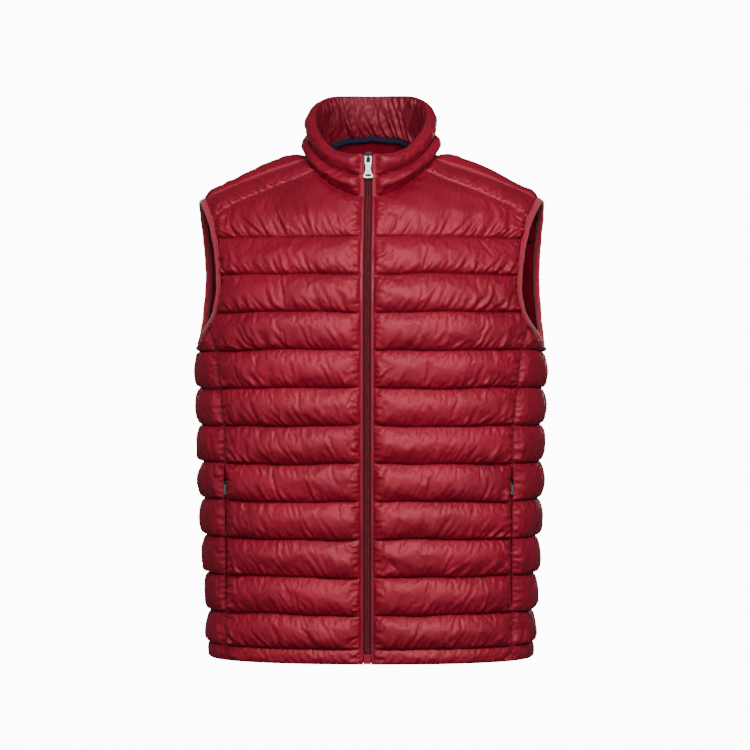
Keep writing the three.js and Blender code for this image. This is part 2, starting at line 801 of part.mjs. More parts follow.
addPair("front", withGaps(front, { head: half, last: belowArmhole(pocketGap) }), padded, shell);
addPair("side_panel", withGaps(side, { first: pocketGap, last: half }), padded, shell);
addPair("front_yoke", withGaps(yoke, { foot: half, head: half, first: half }), padded, shell);
add(
  "back",
  wall(
    withGaps(back, { head: half, first: belowArmhole(half), last: belowArmhole(half) }),
    padded,
  ),
  shell,
);
add("collar", wall(withGaps(collar, { foot: half }), padded), shell);
add(
  "collar_lining",
  wall(collarLiningGrid(), (c) => [-COLLAR_LINING.gap - c.thickness, -COLLAR_LINING.gap]),
  cloth(LINING_RED, 0.4),
);

// The tape that covers the neck seam inside, from one shoulder seam to the other
function neckTapeRows() {
  const count = BACK_NECK_DEG.length;
  const middle = (back[0].length - 1) / 2;
  const from = middle - count + 1;
  const to = middle + count;
  const seam = back[back.length - 1].slice(from, to);
  const below = back[back.length - 2].slice(from, to);
  const ring = (up) => {
    const right = BACK_NECK_DEG.map((deg) =>
      cell(collarPoint(deg, up), collarNormal(deg, up), 0),
    );
    return right.slice(1).map(mirrorCell).reverse().concat(right);
  };
  const reach = 2;
  const down = seam.map((c, j) => {
    const share = reach / c.point.distanceTo(below[j].point);
    return cell(mix(c.point, below[j].point, share), below[j].normal, 0);
  });
  return [down, seam, ring(0.055)];
}
add("neck_tape", wall(neckTapeRows(), () => [-2, -1]), cloth(NAVY, 0.7));

// The binding folded round each armhole, a U in section on the panels' edge points
function armholeLoop() {
  const edgeOf = (rows) => rows.map((row) => row[row.length - 1]);
  const aboveCorner = (c) => c.point.z > ARMHOLE_CORNER_Z - 0.1;
  const up = edgeOf(front).filter(aboveCorner).concat(edgeOf(yoke).slice(1));
  const down = edgeOf(back).slice(0, -1).filter(aboveCorner).reverse();
  const under = side[side.length - 1].slice(1, -1).reverse();
  return [...up, ...down, ...under];
}

function bindingGeometry() {
  const edges = armholeLoop();
  const count = edges.length;
  const section = [
    { out: 2, up: -2.2 },
    { out: 2, up: 5.4 },
    { out: -4.5, up: 6.3 },
    { out: -4.5, up: 5.1 },
    { out: 0.8, up: 4.2 },
    { out: 0.8, up: -1 },
    { out: -4.5, up: -1.9 },
    { out: -4.5, up: -3.1 },
  ];
  const position = [];
  edges.forEach((c, k) => {
    const before = edges[(k + count - 1) % count].point;
    const after = edges[(k + 1) % count].point;
    const outward = squareMitre(before, c, after).negate();
    for (const s of section) {
      const p = c.point.clone().addScaledVector(outward, s.out).addScaledVector(c.normal, s.up);
      position.push(p.x, p.y, p.z);
    }
  });
  const index = [];
  const size = section.length;
  for (let k = 0; k < count; k += 1) {
    const next = (k + 1) % count;
    for (let m = 0; m < size; m += 1) {
      const n = (m + 1) % size;
      const [a, b, c, d] = [k * size + m, k * size + n, next * size + n, next * size + m];
      index.push(a, b, c, a, c, d);
    }
  }
  return facingOut(position, index);
}

const mirrorGeometry = (geometry) => {
  const copy = geometry.clone().scale(-1, 1, 1);
  const order = Array.from(copy.index.array);
  for (let k = 0; k < order.length; k += 3) [order[k + 1], order[k + 2]] = [order[k + 2], order[k + 1]];
  return copy.setIndex(order);
};
const bindingCloth = cloth(BINDING_RED, 0.75);
const binding = bindingGeometry();
add("armhole_binding_left", binding, bindingCloth);
add("armhole_binding_right", mirrorGeometry(binding), bindingCloth);

// The front zip follows the front edges from the hem to the collar's rim
function zipRows(xs, topUp) {
  const pointOnBody = (x, z) => {
    const point = bodyPoint(FRONT, x, z);
    return cell(point, bodyNormal(FRONT, point), 0);
  };
  const body = front
    .slice(1, -1)
    .map((row) => xs.map((x) => pointOnBody(x, row[0].point.z)));
  const low = xs.map((x) => pointOnBody(x, CHAIN_BOTTOM_Z));
  const ups = COLLAR_ROWS.map((row) => row.up).filter((up) => up < topUp);
  const neck = [...ups, topUp].map((up) =>
    xs.map((x) => {
      const deg = degOfX(x, lerp(NECK_HALF_WIDTH, RIM_HALF_WIDTH, up));
      const normal = up === 0 ? neckMitre(deg) : collarNormal(deg, up);
      return cell(collarPointAtX(x, up), normal, 0);
    }),
  );
  return [low, ...body, ...neck];
}
const tapeRows = zipRows([TAPE_INNER_X, ZIP_STITCH_X, TAPE_OUTER_X], TAPE_TOP_UP);
const chainRows = zipRows([CHAIN_GAP, CHAIN_HALF_WIDTH], CHAIN_TOP_UP);
addPair("zip_tape", tapeRows, () => [-1.7, -0.6], cloth(ZIP_MAROON, 0.8));
addPair("zip_chain", chainRows, () => [-0.8, 1.5], cloth(ZIP_MAROON, 0.45));

// A solid for booleans, from a closed geometry
function solid(geometry) {
  const bare = geometry.clone();
  bare.deleteAttribute("normal");
  bare.deleteAttribute("uv");
  const merged = mergeVertices(bare);
  return new wasm.Manifold(
    new wasm.Mesh({
      numProp: 3,
      vertProperties: merged.attributes.position.array,
      triVerts: new Uint32Array(merged.index.array),
    }),
  );
}

function geometryOf(made) {
  const mesh = made.getMesh();
  const position = [];
  for (let i = 0; i < mesh.numVert; i += 1) {
    for (let k = 0; k < 3; k += 1) position.push(mesh.vertProperties[i * mesh.numProp + k]);
  }
  return new THREE.BufferGeometry()
    .setAttribute("position", new THREE.Float32BufferAttribute(position, 3))
    .setIndex(Array.from(mesh.triVerts));
}

function block(wide, deep, high, x, y, z) {
  return solid(new THREE.BoxGeometry(wide, deep, high).translate(x, y, z));
}

// A slider in its own frame: +Z up the zip, -Y outwards, its pivot height as its middle
function sliderGeometry(s) {
  const face = s.front + s.plate;
  const corner = s.width / 5;
  const outline = new THREE.Shape();
  const w = s.width / 2;
  const h = s.length / 2;
  outline.moveTo(-w * 0.72, -h);
  outline.lineTo(w * 0.72, -h);
  outline.lineTo(w, -h + corner);
  outline.lineTo(w, h - corner);
  outline.lineTo(w * 0.6, h);
  outline.lineTo(-w * 0.6, h);
  outline.lineTo(-w, h - corner);
  outline.lineTo(-w, -h + corner);
  outline.closePath();
  const plate = (from) =>
    solid(
      new THREE.ExtrudeGeometry(outline, { depth: s.plate, bevelEnabled: false })
        .rotateX(Math.PI / 2)
        .translate(0, -from, 0),
    );
  let made = plate(s.front);
  if (s.back !== null) {
    made = made.add(plate(-s.back - s.plate));
    const span = s.front + s.back + 0.4;
    made = made.add(block(2.2, span, 3.6, 0, (s.back - s.front) / 2, h - 2.4));
  }
  const reach = s.bridgeReach;
  const tall = s.bridgeHeight;
  const arch = block(s.bridgeWidth, tall, 2 * reach, 0, -face - tall / 2 + 0.1, 0);
  const inside = tall - s.bridgeWall;
  const hole = block(s.bridgeWidth + 2, inside, 2 * (reach - s.bridgeWall), 0, -face - inside / 2, 0);
  return geometryOf(made.add(arch.subtract(hole)));
}

// The pivot's distance out from the zip's middle surface
const pivotOut = (s) => s.front + s.plate + (s.bridgeHeight - s.bridgeWall) / 2;

// A pull tab in its own frame, hanging down from its pivot at the origin
function pullGeometry(p) {
  const bar = p.thickness / 2;
  const outline = new THREE.Shape();
  const t = p.topWidth / 2;
  const w = p.waistWidth / 2;
  const f = p.footWidth / 2;
  outline.moveTo(-t, bar - 0.3);
  outline.lineTo(-t + 0.3, bar);
  outline.lineTo(t - 0.3, bar);
  outline.lineTo(t, bar - 0.3);
  outline.lineTo(t, -p.windowLength);
  outline.quadraticCurveTo(w, -p.length * 0.45, w, -p.length * 0.55);
  outline.quadraticCurveTo(w, -p.length * 0.75, f, -p.length * 0.9);
  outline.quadraticCurveTo(f, -p.length, f * 0.5, -p.length);
  outline.lineTo(-f * 0.5, -p.length);
  outline.quadraticCurveTo(-f, -p.length, -f, -p.length * 0.9);
  outline.quadraticCurveTo(-w, -p.length * 0.75, -w, -p.length * 0.55);
  outline.quadraticCurveTo(-w, -p.length * 0.45, -t, -p.windowLength);
  outline.closePath();
  const opening = new THREE.Path();
  const x = p.windowWidth / 2;
  opening.moveTo(-x, -bar);
  opening.lineTo(-x, -p.windowLength + 0.6);
  opening.lineTo(-x + 0.6, -p.windowLength);
  opening.lineTo(x - 0.6, -p.windowLength);
  opening.lineTo(x, -p.windowLength + 0.6);
  opening.lineTo(x, -bar);
  opening.closePath();
  const slot = new THREE.Path();
  const sx = p.slotWidth / 2;
  const sy = -p.length * 0.87;
  const sh = p.slotHeight / 2;
  slot.moveTo(-sx, sy);
  slot.quadraticCurveTo(-sx, sy - sh, 0, sy - sh);
  slot.quadraticCurveTo(sx, sy - sh, sx, sy);
  slot.quadraticCurveTo(sx, sy + sh, 0, sy + sh);
  slot.quadraticCurveTo(-sx, sy + sh, -sx, sy);
  outline.holes.push(opening, slot);
  const made = new THREE.ExtrudeGeometry(outline, {
    depth: p.thickness,
    bevelEnabled: false,
    curveSegments: 3,
  });
  return geometryOf(solid(made.rotateX(Math.PI / 2).translate(0, p.thickness / 2, 0)));
}

const mainZip = collarPointAtX(0.01, SLIDER_UP);
const mainSlider = add("zip_slider", sliderGeometry(MAIN_SLIDER), metal(GUNMETAL));
mainSlider.position.set(0, mainZip.y, mainZip.z);
const mainPull = add("zip_pull", pullGeometry(MAIN_PULL), metal(SILVER));
mainPull.position.set(0, mainZip.y - pivotOut(MAIN_SLIDER), mainZip.z);

// The pin box that ends the front zip at the hem, wrapped in the front edges' cloth
const boxHigh = CHAIN_BOTTOM_Z - 2 * SEAM_GAP - HEM_Z;
const zipFoot = bodyPoint(FRONT, 0, HEM_Z + SEAM_GAP + boxHigh / 2);
const boxGeometry = new THREE.BoxGeometry(8.8, 2.4, boxHigh).translate(0, -0.6, 0);
const zipBox = add("zip_box", boxGeometry, cloth(SHELL_RED, 0.6));
zipBox.position.copy(zipFoot);

// Each pocket zip lies behind the slit in its side seam, made from the two panels' edge points
function pocketTapeRows() {
  const lastColumn = front[0].length - 1;
  const rows = [];
  front.forEach((row, i) => {
    const edge = row[lastColumn];
    const { topZ, bottomZ, overrun } = POCKET;
    if (edge.point.z > topZ + overrun || edge.point.z < bottomZ - overrun) return;
    const reach = (inside) => {
      const share = POCKET.tapeReach / edge.point.distanceTo(inside.point);
      return cell(mix(edge.point, inside.point, share), edge.normal, 0);
    };
    rows.push([reach(row[lastColumn - 1]), edge, reach(side[i][1])]);
  });
  return rows;
}
addPair("pocket_zip", pocketTapeRows(), () => [-1.8, -0.5], cloth(ZIP_MAROON, 0.6));

for (const [hand, sign] of [["left", 1], ["right", -1]]) {
  const x = frontSeamX(POCKET.sliderZ);
  const seat = bodyPoint(FRONT, x, POCKET.sliderZ);
  const out = bodyNormal(FRONT, seat);
  const turn = Math.atan2(out.x, -out.y) * sign;
  const place = new THREE.Group();
  place.position.set(seat.x * sign, seat.y, seat.z);
  place.rotation.z = turn;
  group.add(place);
  const slider = add(`pocket_slider_${hand}`, sliderGeometry(POCKET_SLIDER), metal(GUNMETAL));
  const pull = add(`pocket_pull_${hand}`, pullGeometry(POCKET_PULL), metal(SILVER));
  pull.position.y = -pivotOut(POCKET_SLIDER);
  place.add(slider, pull);
}

export default group;
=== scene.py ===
import math

import bmesh
import bpy
import numpy as np
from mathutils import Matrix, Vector


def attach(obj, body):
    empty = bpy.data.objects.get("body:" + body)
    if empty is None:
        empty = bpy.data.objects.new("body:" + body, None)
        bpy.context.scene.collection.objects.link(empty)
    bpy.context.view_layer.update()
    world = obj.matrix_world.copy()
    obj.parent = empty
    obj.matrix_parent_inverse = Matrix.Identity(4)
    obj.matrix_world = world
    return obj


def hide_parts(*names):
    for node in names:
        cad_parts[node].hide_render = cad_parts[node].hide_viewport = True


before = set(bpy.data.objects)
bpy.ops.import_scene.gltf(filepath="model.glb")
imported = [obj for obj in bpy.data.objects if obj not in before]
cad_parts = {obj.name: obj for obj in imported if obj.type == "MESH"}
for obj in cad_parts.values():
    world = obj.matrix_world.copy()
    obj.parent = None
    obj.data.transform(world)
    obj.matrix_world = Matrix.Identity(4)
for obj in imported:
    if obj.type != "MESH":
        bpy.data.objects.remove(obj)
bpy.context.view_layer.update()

MM = 0.001
FRONT = -1.0
BACK = 1.0
LEFT = 1
RIGHT = -1
MIRROR = np.array([-1, 1, 1])
RANDOM = np.random.default_rng(7)

# The photograph's view
CAMERA_DISTANCE = 4.0
CAMERA_HEIGHT = -0.269
CAMERA_TURN = 2.0
CAMERA_LENS = 153.6
PHOTO_WIDTH = 750
PHOTO_CENTRE_X = 371

# The studio's lamps: place and size in metres, and power in watts
LAMPS = (
    ("key", (0.3, -2.6, 1.3), (2.4, 1.2), 185),
    ("front", (0.2, -4.6, 0.3), (3.0, 2.0), 29),
    ("behind", (0, 3.2, 0.3), (2.4, 1.2), 100),
    ("left_fill", (-2.4, -2.0, 0.3), (1.0, 2.0), 22),
    ("right_fill", (2.4, -2.0, 0.3), (1.0, 2.0), 22),
)
WALL_GLOW = 12.0
ROOM_LIGHT = 0.13

# Quilting
HEM_Z = -619.0
HEM_STITCH_Z = -600.5
LOWEST_CHANNEL_Z = -559.5
CHANNEL_PITCH = 45.8
CHANNELS = 10
CHEST_LINE_Z = LOWEST_CHANNEL_Z + CHANNELS * CHANNEL_PITCH
SIDE_LINE_Z = CHEST_LINE_Z - 3 * CHANNEL_PITCH
ARMHOLE_CORNER_Z = SIDE_LINE_Z + 0.75 * CHANNEL_PITCH
STITCHED = 1.5
SEAM_EDGE = 2.4
PUFF = 9.2
SIDE_PUFF = 7.2
BOUND_STRIP = 5.5
STITCH_SPACING = 3.4
CHANNEL_SAG = 0.84
CHANNEL_ROUNDNESS = 0.54
SEAM_ROUNDNESS = 0.75
HEM_FULLNESS = 0.32
UNDERARM_SHARE = 0.72

# The body surface that the panels' inner faces lie on
SECTION_POWER = 2.35
DROP_HEIGHT = {FRONT: 200.0, BACK: 170.0}
DROP_POWER = {FRONT: 1.6, BACK: 1.7}
TORSO = {
    "z": (-620, -600, -580, -560, -500, -450, -400, -350, -300, -240, -205, -160, -100, -40, 40),
    "half_width": (198, 199, 196, 197, 201, 204, 206, 208, 210, 212, 214, 219, 232, 255, 265),
    "front": (134, 134, 134.5, 135, 137, 139.5, 141, 142.5, 143, 143, 143, 142, 142, 142, 142),
    "back": (110, 110, 109, 109, 108, 108, 109, 112, 115.5, 119, 120, 120, 120, 120, 120),
}
NECK_RIDGE = {
    "x": (0, 30, 50, 65, 78),
    "front": (20, 17.5, 13.5, 9, 4.5),
    "back": (70, 61, 44, 22, 4.5),
}
SHOULDER_RIDGE = {
    "x": (78, 90, 110, 130, 150, 180, 203, 216, 230),
    "z": (4.5, -1.5, -9.5, -17, -24.5, -37, -48, -56, -66),
}

# Seams and edges
NECK_HALF_WIDTH = 78.0
NECK_FRONT = 93.0
NECK_BACK = 66.0
YOKE_CORNER_DEG = 56.5
SHOULDER_CORNER_DEG = 77.0
YOKE_TIP_X = 198.0
SIDE_SEAMS = {
    "z": (-620, -560, -450, -376, -330, -285, -239, -205),
    "front": (174, 173, 173, 174, 176, 180, 185.5, 194),
    "back": (172, 172, 172, 173, 178, 187, 199, 210.8),
}
FRONT_ARMHOLE = {
    "z": (-205, -193, -179, -160, -140, -119, -101.5, -86, -79),
    "x": (194, 188.5, 185.5, 184, 185, 188, 191.5, 195.5, 198),
}
BACK_ARMHOLE = {
    "z": (-205, -185, -165, -146, -125, -101.5),
    "x": (210.8, 209.3, 208, 207.5, 208, 210.3),
}
UNDERARM = {
    "along": (0, 0.2, 0.4, 0.6, 0.8, 1),
    "z": (ARMHOLE_CORNER_Z, -215, -224, -230, -226, ARMHOLE_CORNER_Z),
}
YOKE_SEAM = {
    "x": (65, 85, 104, 135, 166, 184, 198),
    "z": (-17, -26, -33, -45, -58.5, -69, -79),
}
SHOULDER_SEAM = {"neck_y": -21.0, "tip_y": -8.0, "tip_x": 210.0}
BACK_TIP = {"along": (0, 0.35, 0.7, 1), "x": (210.3, 213, 213.5, 210)}
BACK_NECK = {
    "share": (0, 0.12, 0.23, 0.32, 0.4, 0.48),
    "deg": (180, 156, 132, 110, 92, SHOULDER_CORNER_DEG),
}
BACK_BOW = {"share": (0, 0.23, 0.32, 0.4, 0.48, 0.64, 0.82, 1), "bow": (0, 0, 10, 40, 60, 20, 0, 0)}
BACK_SHOULDER = {"share": (0.48, 0.64, 0.82, 1), "along": (0, 0.3233, 0.6617, 1)}
BACK_RISE = {"x": (85, 150), "rise": (0.75, 0.3)}
BACK_TOP_CHANNELS = 3
SHOULDER_PAD = 4.0
SHOULDER_PAD_X = 122.0
SHOULDER_PAD_SPREAD = 40
RIM_HALF_WIDTH = 70.0
COLLAR_HALF_WIDTH = (NECK_HALF_WIDTH + RIM_HALF_WIDTH) / 2
COLLAR_LINING_HALF_WIDTH = 75.0
RIM_FRONT = 93.0
RIM_BACK = 60.0
COLLAR_RIM = {
    "deg": (0, 20, 39, 56, 70, 90, 110, 132, 156, 180),
    "z": (1, 2, 9, 24, 37, 56, 72, 82, 84.5, 84.5),
}
COLLAR_PUFF = 13.0
COLLAR_STITCHED = 5.0
COLLAR_LINING_X = 15.0
COLLAR_LINING_PUFF = 3.4
COLLAR_LINING_UP = (0.045, 0.985)
COLLAR_RIM_EDGE = 2.0
NECK_TAPE_UP = (-0.04, 0.1)

# Zips
ZIP_EDGE_X = 4.9
ZIP_STITCH_X = 8.7
ZIP_STRIP = ZIP_STITCH_X - ZIP_EDGE_X
CHAIN_BOTTOM_Z = -606.0
CHAIN_TOP_UP = 0.88
TAPE_TOP_UP = 0.97
COIL_PITCH = 1.35
COIL_X = 1.4
COIL_LIFT = 0.55
COIL_TURN = {"length": 2.7, "width": 1.15, "height": 1.5, "sides": 6}
ZIP_TAPE_COLUMNS = (0.02, 3.0, 6.0, 9.5, 14.0)
ZIP_CORD_COLUMNS = (0.02, 1.0, 1.9, 2.5)
POCKET_TAPE_COLUMNS = (-7.0, -3.5, 0.0, 3.5, 7.0)
ZIP_TAPE_LAYER = (-1.9, -0.9)
ZIP_CORD_LAYER = (-0.8, 0.25)
POCKET_TAPE_LAYER = (-1.8, -0.5)
NECK_TAPE_LAYER = (-2.9, -1.6)
POCKET = {"top": -388.0, "bottom": -548.0, "fade": 12.0, "closed": 1.5, "open": 3.0, "slider": -399.0}

# Mesh steps across and up a panel, and the cloth simulation's settings
ACROSS = 1.35
UPWARD = 1.55
BACK_ACROSS = 2.4
BACK_UPWARD = 2.0
SIM_FRAMES = 16
MOST_MOVEMENT = 2.2
PLEATS_OVER_CLOTH = 0.35

# Kinds of pleat in a quilted channel: the stitched line that they spring from, one every so many
# millimetres, the lean and its spread in degrees, the length as a share of the channel's height,
# and the width and height in millimetres
PLEAT_COLUMNS = ("from", "every", "lean", "long", "wide", "high")
PLEAT_TABLE = (
    ("foot", 5.5, (34, 12), (0.3, 0.9), (1.2, 2.2), (0.4, 1.2)),
    ("foot", 3.4, (20, 14), (0.12, 0.35), (0.9, 1.5), (0.3, 0.7)),
    ("head", 3.4, (18, 14), (0.15, 0.5), (0.9, 1.6), (0.3, 0.8)),
    ("foot", 15.0, (12, 10), (0.8, 1.0), (3.0, 5.0), (0.5, 1.0)),
)
PLEATS = [dict(zip(PLEAT_COLUMNS, row)) for row in PLEAT_TABLE]


def srgb(red, green, blue):
    """A display colour from 0 to 255 as the shader's linear one."""
    parts = [c / 255 for c in (red, green, blue)]
    return tuple(c / 12.92 if c <= 0.04045 else ((c + 0.055) / 1.055) ** 2.4 for c in parts) + (1,)


# Finishes
NYLON_LIGHT = srgb(108, 5, 27)
NYLON_DARK = srgb(90, 2, 20)
# The collar lining: the shell's nylon darkened by about a fifth, as painted shade inside the collar
SHADED_LINING_LIGHT = srgb(84, 3, 20)
SHADED_LINING_DARK = srgb(66, 1, 14)
NYLON_SHEEN = srgb(225, 90, 110)
NYLON_GLINT = srgb(255, 128, 142)
BINDING_RED = srgb(131, 16, 37)
# Thread far darker than the cloth: partly its own colour, partly painted shade of the stitched
# grooves it covers
THREAD_RED_AND_GROOVE_SHADE = srgb(50, 0, 9)
TAPE_MAROON = srgb(58, 5, 14)
COIL_MAROON = srgb(92, 16, 26)
NAVY = srgb(9, 9, 38)
GUNMETAL = srgb(44, 44, 48)
SILVER = srgb(238, 238, 240)


# The view and the studio


def set_camera():
    """The photograph's view: level, and a little from the wearer's left."""
    turn = math.radians(CAMERA_TURN)
    lens = bpy.data.cameras.new("camera")
    lens.lens = CAMERA_LENS
    lens.sensor_width = 36
    lens.shift_x = (PHOTO_WIDTH / 2 - PHOTO_CENTRE_X) / PHOTO_WIDTH
    camera = bpy.data.objects.new("camera", lens)
    across = CAMERA_DISTANCE * math.sin(turn)
    camera.location = (across, -CAMERA_DISTANCE * math.cos(turn), CAMERA_HEIGHT)
    camera.rotation_euler = (math.pi / 2, 0, turn)
    bpy.context.scene.collection.objects.link(camera)
    bpy.context.scene.camera = camera


def soft_light(name, location, size, power):
    """A large soft lamp aimed at the vest's middle."""
    lamp = bpy.data.lights.new(name, "AREA")
    lamp.shape = "RECTANGLE"
    lamp.size, lamp.size_y = size
    lamp.energy = power
    holder = bpy.data.objects.new(name, lamp)
    holder.location = location
    aim = Vector((0, 0, CAMERA_HEIGHT)) - Vector(location)
    holder.rotation_euler = aim.to_track_quat("-Z", "Y").to_euler()
    bpy.context.scene.collection.objects.link(holder)
    return holder


def white_paper(name, glow=0.0):
    """Matt white paper, which glow lights from within."""
    paper = {"Base Color": (0.9, 0.9, 0.9, 1), "Roughness": 0.9}
    lit = {"Emission Color": (1, 1, 1, 1), "Emission Strength": glow}
    return Surface(name).settle(paper | lit)


def studio_sheet(name, location, turn, material):
    """A large sheet of paper that the camera sees and the vest doesn't mirror."""
    bpy.ops.object.select_all(action="DESELECT")
    bpy.ops.mesh.primitive_plane_add(size=16, location=location, rotation=(turn, 0, 0))
    sheet = bpy.context.object
    sheet.name = name
    sheet.data.materials.append(material)
    sheet.visible_diffuse = False
    sheet.visible_glossy = False


def studio():
    """A pale floor and back wall under soft light from above and in front."""
    studio_sheet("studio_floor", (0, 2, -1.6), 0, white_paper("white_paper"))
    lit_paper = white_paper("lit_white_paper", WALL_GLOW)
    studio_sheet("studio_wall", (0, 5, 0), math.pi / 2, lit_paper)
    for lamp in LAMPS:
        soft_light(*lamp)
    bpy.data.objects["behind"].visible_camera = False
    world = bpy.data.worlds.new("studio")
    world.use_nodes = True
    world.node_tree.nodes["Background"].inputs["Color"].default_value = (1, 1, 1, 1)
    world.node_tree.nodes["Background"].inputs["Strength"].default_value = ROOM_LIGHT
    bpy.context.scene.world = world


# The body surface


def curve(table, at, value):
    """A smooth curve through a table's columns, level beyond its ends."""
    at = np.array(table[at], float)
    value = np.array(table[value], float)
    order = np.arange(len(at))
    before = np.maximum(order - 1, 0)
    after = np.minimum(order + 1, len(at) - 1)
    slope = (value[after] - value[before]) / (at[after] - at[before])

    def height(x):
        x = np.clip(x, at[0], at[-1])
        i = np.clip(np.searchsorted(at, x) - 1, 0, len(at) - 2)
        width = at[i + 1] - at[i]
        t = (x - at[i]) / width
        climb = value[i + 1] - value[i]
        bend = (1 - t) * (slope[i] * width - climb) + t * (climb - slope[i + 1] * width)
        return value[i] + t * climb + t * (1 - t) * bend

    return height


half_width_at = curve(TORSO, "z", "half_width")
front_depth_at = curve(TORSO, "z", "front")
back_depth_at = curve(TORSO, "z", "back")
neck_ridge_front = curve(NECK_RIDGE, "x", "front")
neck_ridge_back = curve(NECK_RIDGE, "x", "back")
shoulder_ridge = curve(SHOULDER_RIDGE, "x", "z")
front_seam_x = curve(SIDE_SEAMS, "z", "front")
back_seam_x = curve(SIDE_SEAMS, "z", "back")
front_armhole_x = curve(FRONT_ARMHOLE, "z", "x")
back_armhole_x = curve(BACK_ARMHOLE, "z", "x")
underarm_z = curve(UNDERARM, "along", "z")
yoke_seam_z = curve(YOKE_SEAM, "x", "z")
back_tip_x = curve(BACK_TIP, "along", "x")
rim_z = curve(COLLAR_RIM, "deg", "z")


def lerp(a, b, t):
    return a + (b - a) * t


def joined(x, y, z):
    return np.stack(np.broadcast_arrays(x, y, z), -1).astype(float)


def unit(v):
    return v / np.maximum(np.linalg.norm(v, axis=-1, keepdims=True), 1e-9)


def by_side(side, table):
    """The front's or the back's value, by side."""
    return np.where(side < 0, table[FRONT], table[BACK])


def ridge(side, x):
    """The height of the body surface's top line."""
    out = np.abs(x)
    neck = np.where(side < 0, neck_ridge_front(out), neck_ridge_back(out))
    return np.where(out >= NECK_HALF_WIDTH, shoulder_ridge(out), neck)


def depth(side, x, z):
    """How far the chest or back stands out, from nothing at the ridge to its full depth."""
    drop = np.clip((ridge(side, x) - z) / by_side(side, DROP_HEIGHT), 0, 1)
    power = by_side(side, DROP_POWER)
    full = np.where(side < 0, front_depth_at(z), back_depth_at(z))
    return full * (1 - (1 - drop) ** power) ** (1 / power)


def body_point(side, x, z):
    """A point of the body surface, in front or behind, at x and z."""
    share = np.minimum(np.abs(x) / half_width_at(z), 1)
    narrowing = (1 - share**SECTION_POWER) ** (1 / SECTION_POWER)
    return joined(x, side * depth(side, x, z) * narrowing, z)


def turn_of(x, z):
    """The turn round a section that gives x: a quarter turn at the middle, none at the side."""
    share = np.minimum(np.abs(x) / half_width_at(z), 1)
    return np.arccos(share ** (SECTION_POWER / 2))


def turn_point(turn, z):
    """A point by its turn, positive in front of the side and negative behind it."""
    side = np.where(turn > 0, FRONT, BACK)
    x = half_width_at(z) * np.abs(np.cos(turn)) ** (2 / SECTION_POWER)
    share = np.abs(np.sin(turn)) ** (2 / SECTION_POWER)
    return joined(x, side * depth(side, x, z) * share, z)


def height_at_depth(side, x, y):
    """The height at which the surface at x has come out to y."""
    high = ridge(side, x)
    low = high - by_side(side, DROP_HEIGHT)
    for _ in range(40):
        middle = (high + low) / 2
        short = np.abs(body_point(side, x, middle)[..., 1]) < np.abs(y)
        high = np.where(short, middle, high)
        low = np.where(short, low, middle)
    return (high + low) / 2


def body_normal(side, p):
    """The outward normal of the body surface."""
    x, y, z = np.moveaxis(p, -1, 0)

    def level(x, y, z):
        share = 1 - (np.abs(x) / half_width_at(z)) ** SECTION_POWER
        reach = (depth(side, x, z) / 100) ** SECTION_POWER
        return (np.abs(y) / 100) ** SECTION_POWER - reach * share

    h = 0.2
    slope = joined(
        level(x + h, y, z) - level(x - h, y, z),
        level(x, y + h, z) - level(x, y - h, z),
        level(x, y, z + h) - level(x, y, z - h),
    )
    out = np.abs(x)
    fall = (ridge(side, out + 0.5) - ridge(side, out - 0.5)) * np.where(x < 0, -1, 1)
    up = joined(-fall, 0 * fall, 1 + 0 * fall)
    near = (ridge(side, out) - z < 0.5)[..., None]
    return unit(np.where(near, up, slope))


def neck_point(deg):
    """The neckline, an oval seen from above that lies on the body surface."""
    turn = np.radians(deg)
    side = np.where(deg < 90, FRONT, BACK)
    x = NECK_HALF_WIDTH * np.sin(turn)
    y = -np.where(deg < 90, NECK_FRONT, NECK_BACK) * np.cos(turn)
    return joined(x, y, height_at_depth(side, x, y))


def collar_point(deg, up):
    """The collar's body side, at a turn round the neck and a share of its height."""
    turn = np.radians(deg)
    reach = np.where(deg < 90, RIM_FRONT, RIM_BACK)
    rim = joined(RIM_HALF_WIDTH * np.sin(turn), -reach * np.cos(turn), rim_z(deg))
    return lerp(neck_point(deg), rim, np.asarray(up)[..., None])


def degrees_at(x, half_width):
    """The turn round an oval of this half width that gives x."""
    return np.degrees(np.arcsin(np.clip(x / half_width, -1, 1)))


def collar_column(deg, x_zip, up):
    """As collar_point, but a column near the zip keeps its distance x_zip from the middle."""
    straight = x_zip < ZIP_STITCH_X + 6
    low_deg = np.where(straight, degrees_at(x_zip, NECK_HALF_WIDTH), deg)
    high_deg = np.where(straight, degrees_at(x_zip, RIM_HALF_WIDTH), deg)
    low = collar_point(low_deg, 0 * low_deg)
    high = collar_point(high_deg, 0 * high_deg + 1)
    return lerp(low, high, np.asarray(up)[..., None])


def collar_normal(deg, up):
    """The outward normal of the collar."""
    step = 1.5
    ahead = collar_point(np.clip(deg + step, 0, 180), up)
    along = ahead - collar_point(np.clip(deg - step, 0, 180), up)
    level = ((deg < step) | (deg > 180 - step))[..., None]
    along = np.where(level, along * (1, 0, 0), along)
    climb = collar_point(deg, 0 * up + 1) - collar_point(deg, 0 * up)
    return unit(np.cross(along, climb))


def neck_mitre(deg):
    """The direction halfway between the body's and the collar's normals, at their seam."""
    side = np.where(deg < 90, FRONT, BACK)
    return unit(body_normal(side, neck_point(deg)) + collar_normal(deg, 0 * deg))


def shoulder_seam_point(along):
    """The shoulder seam, from the neck to the armhole."""
    neck = neck_point(np.array(SHOULDER_CORNER_DEG))
    x = lerp(neck[0], SHOULDER_SEAM["tip_x"], along)
    y = lerp(neck[1], SHOULDER_SEAM["tip_y"], along)
    return joined(x, y, height_at_depth(FRONT + 0 * x, x, y))


def slope_angle(side, x, z):
    """The angle down a shoulder's rounded profile, positive behind the ridge."""
    drop = np.clip((ridge(side, x) - z) / by_side(side, DROP_HEIGHT), 0, 1)
    return side * np.arccos((1 - drop) ** (by_side(side, DROP_POWER) / 2))


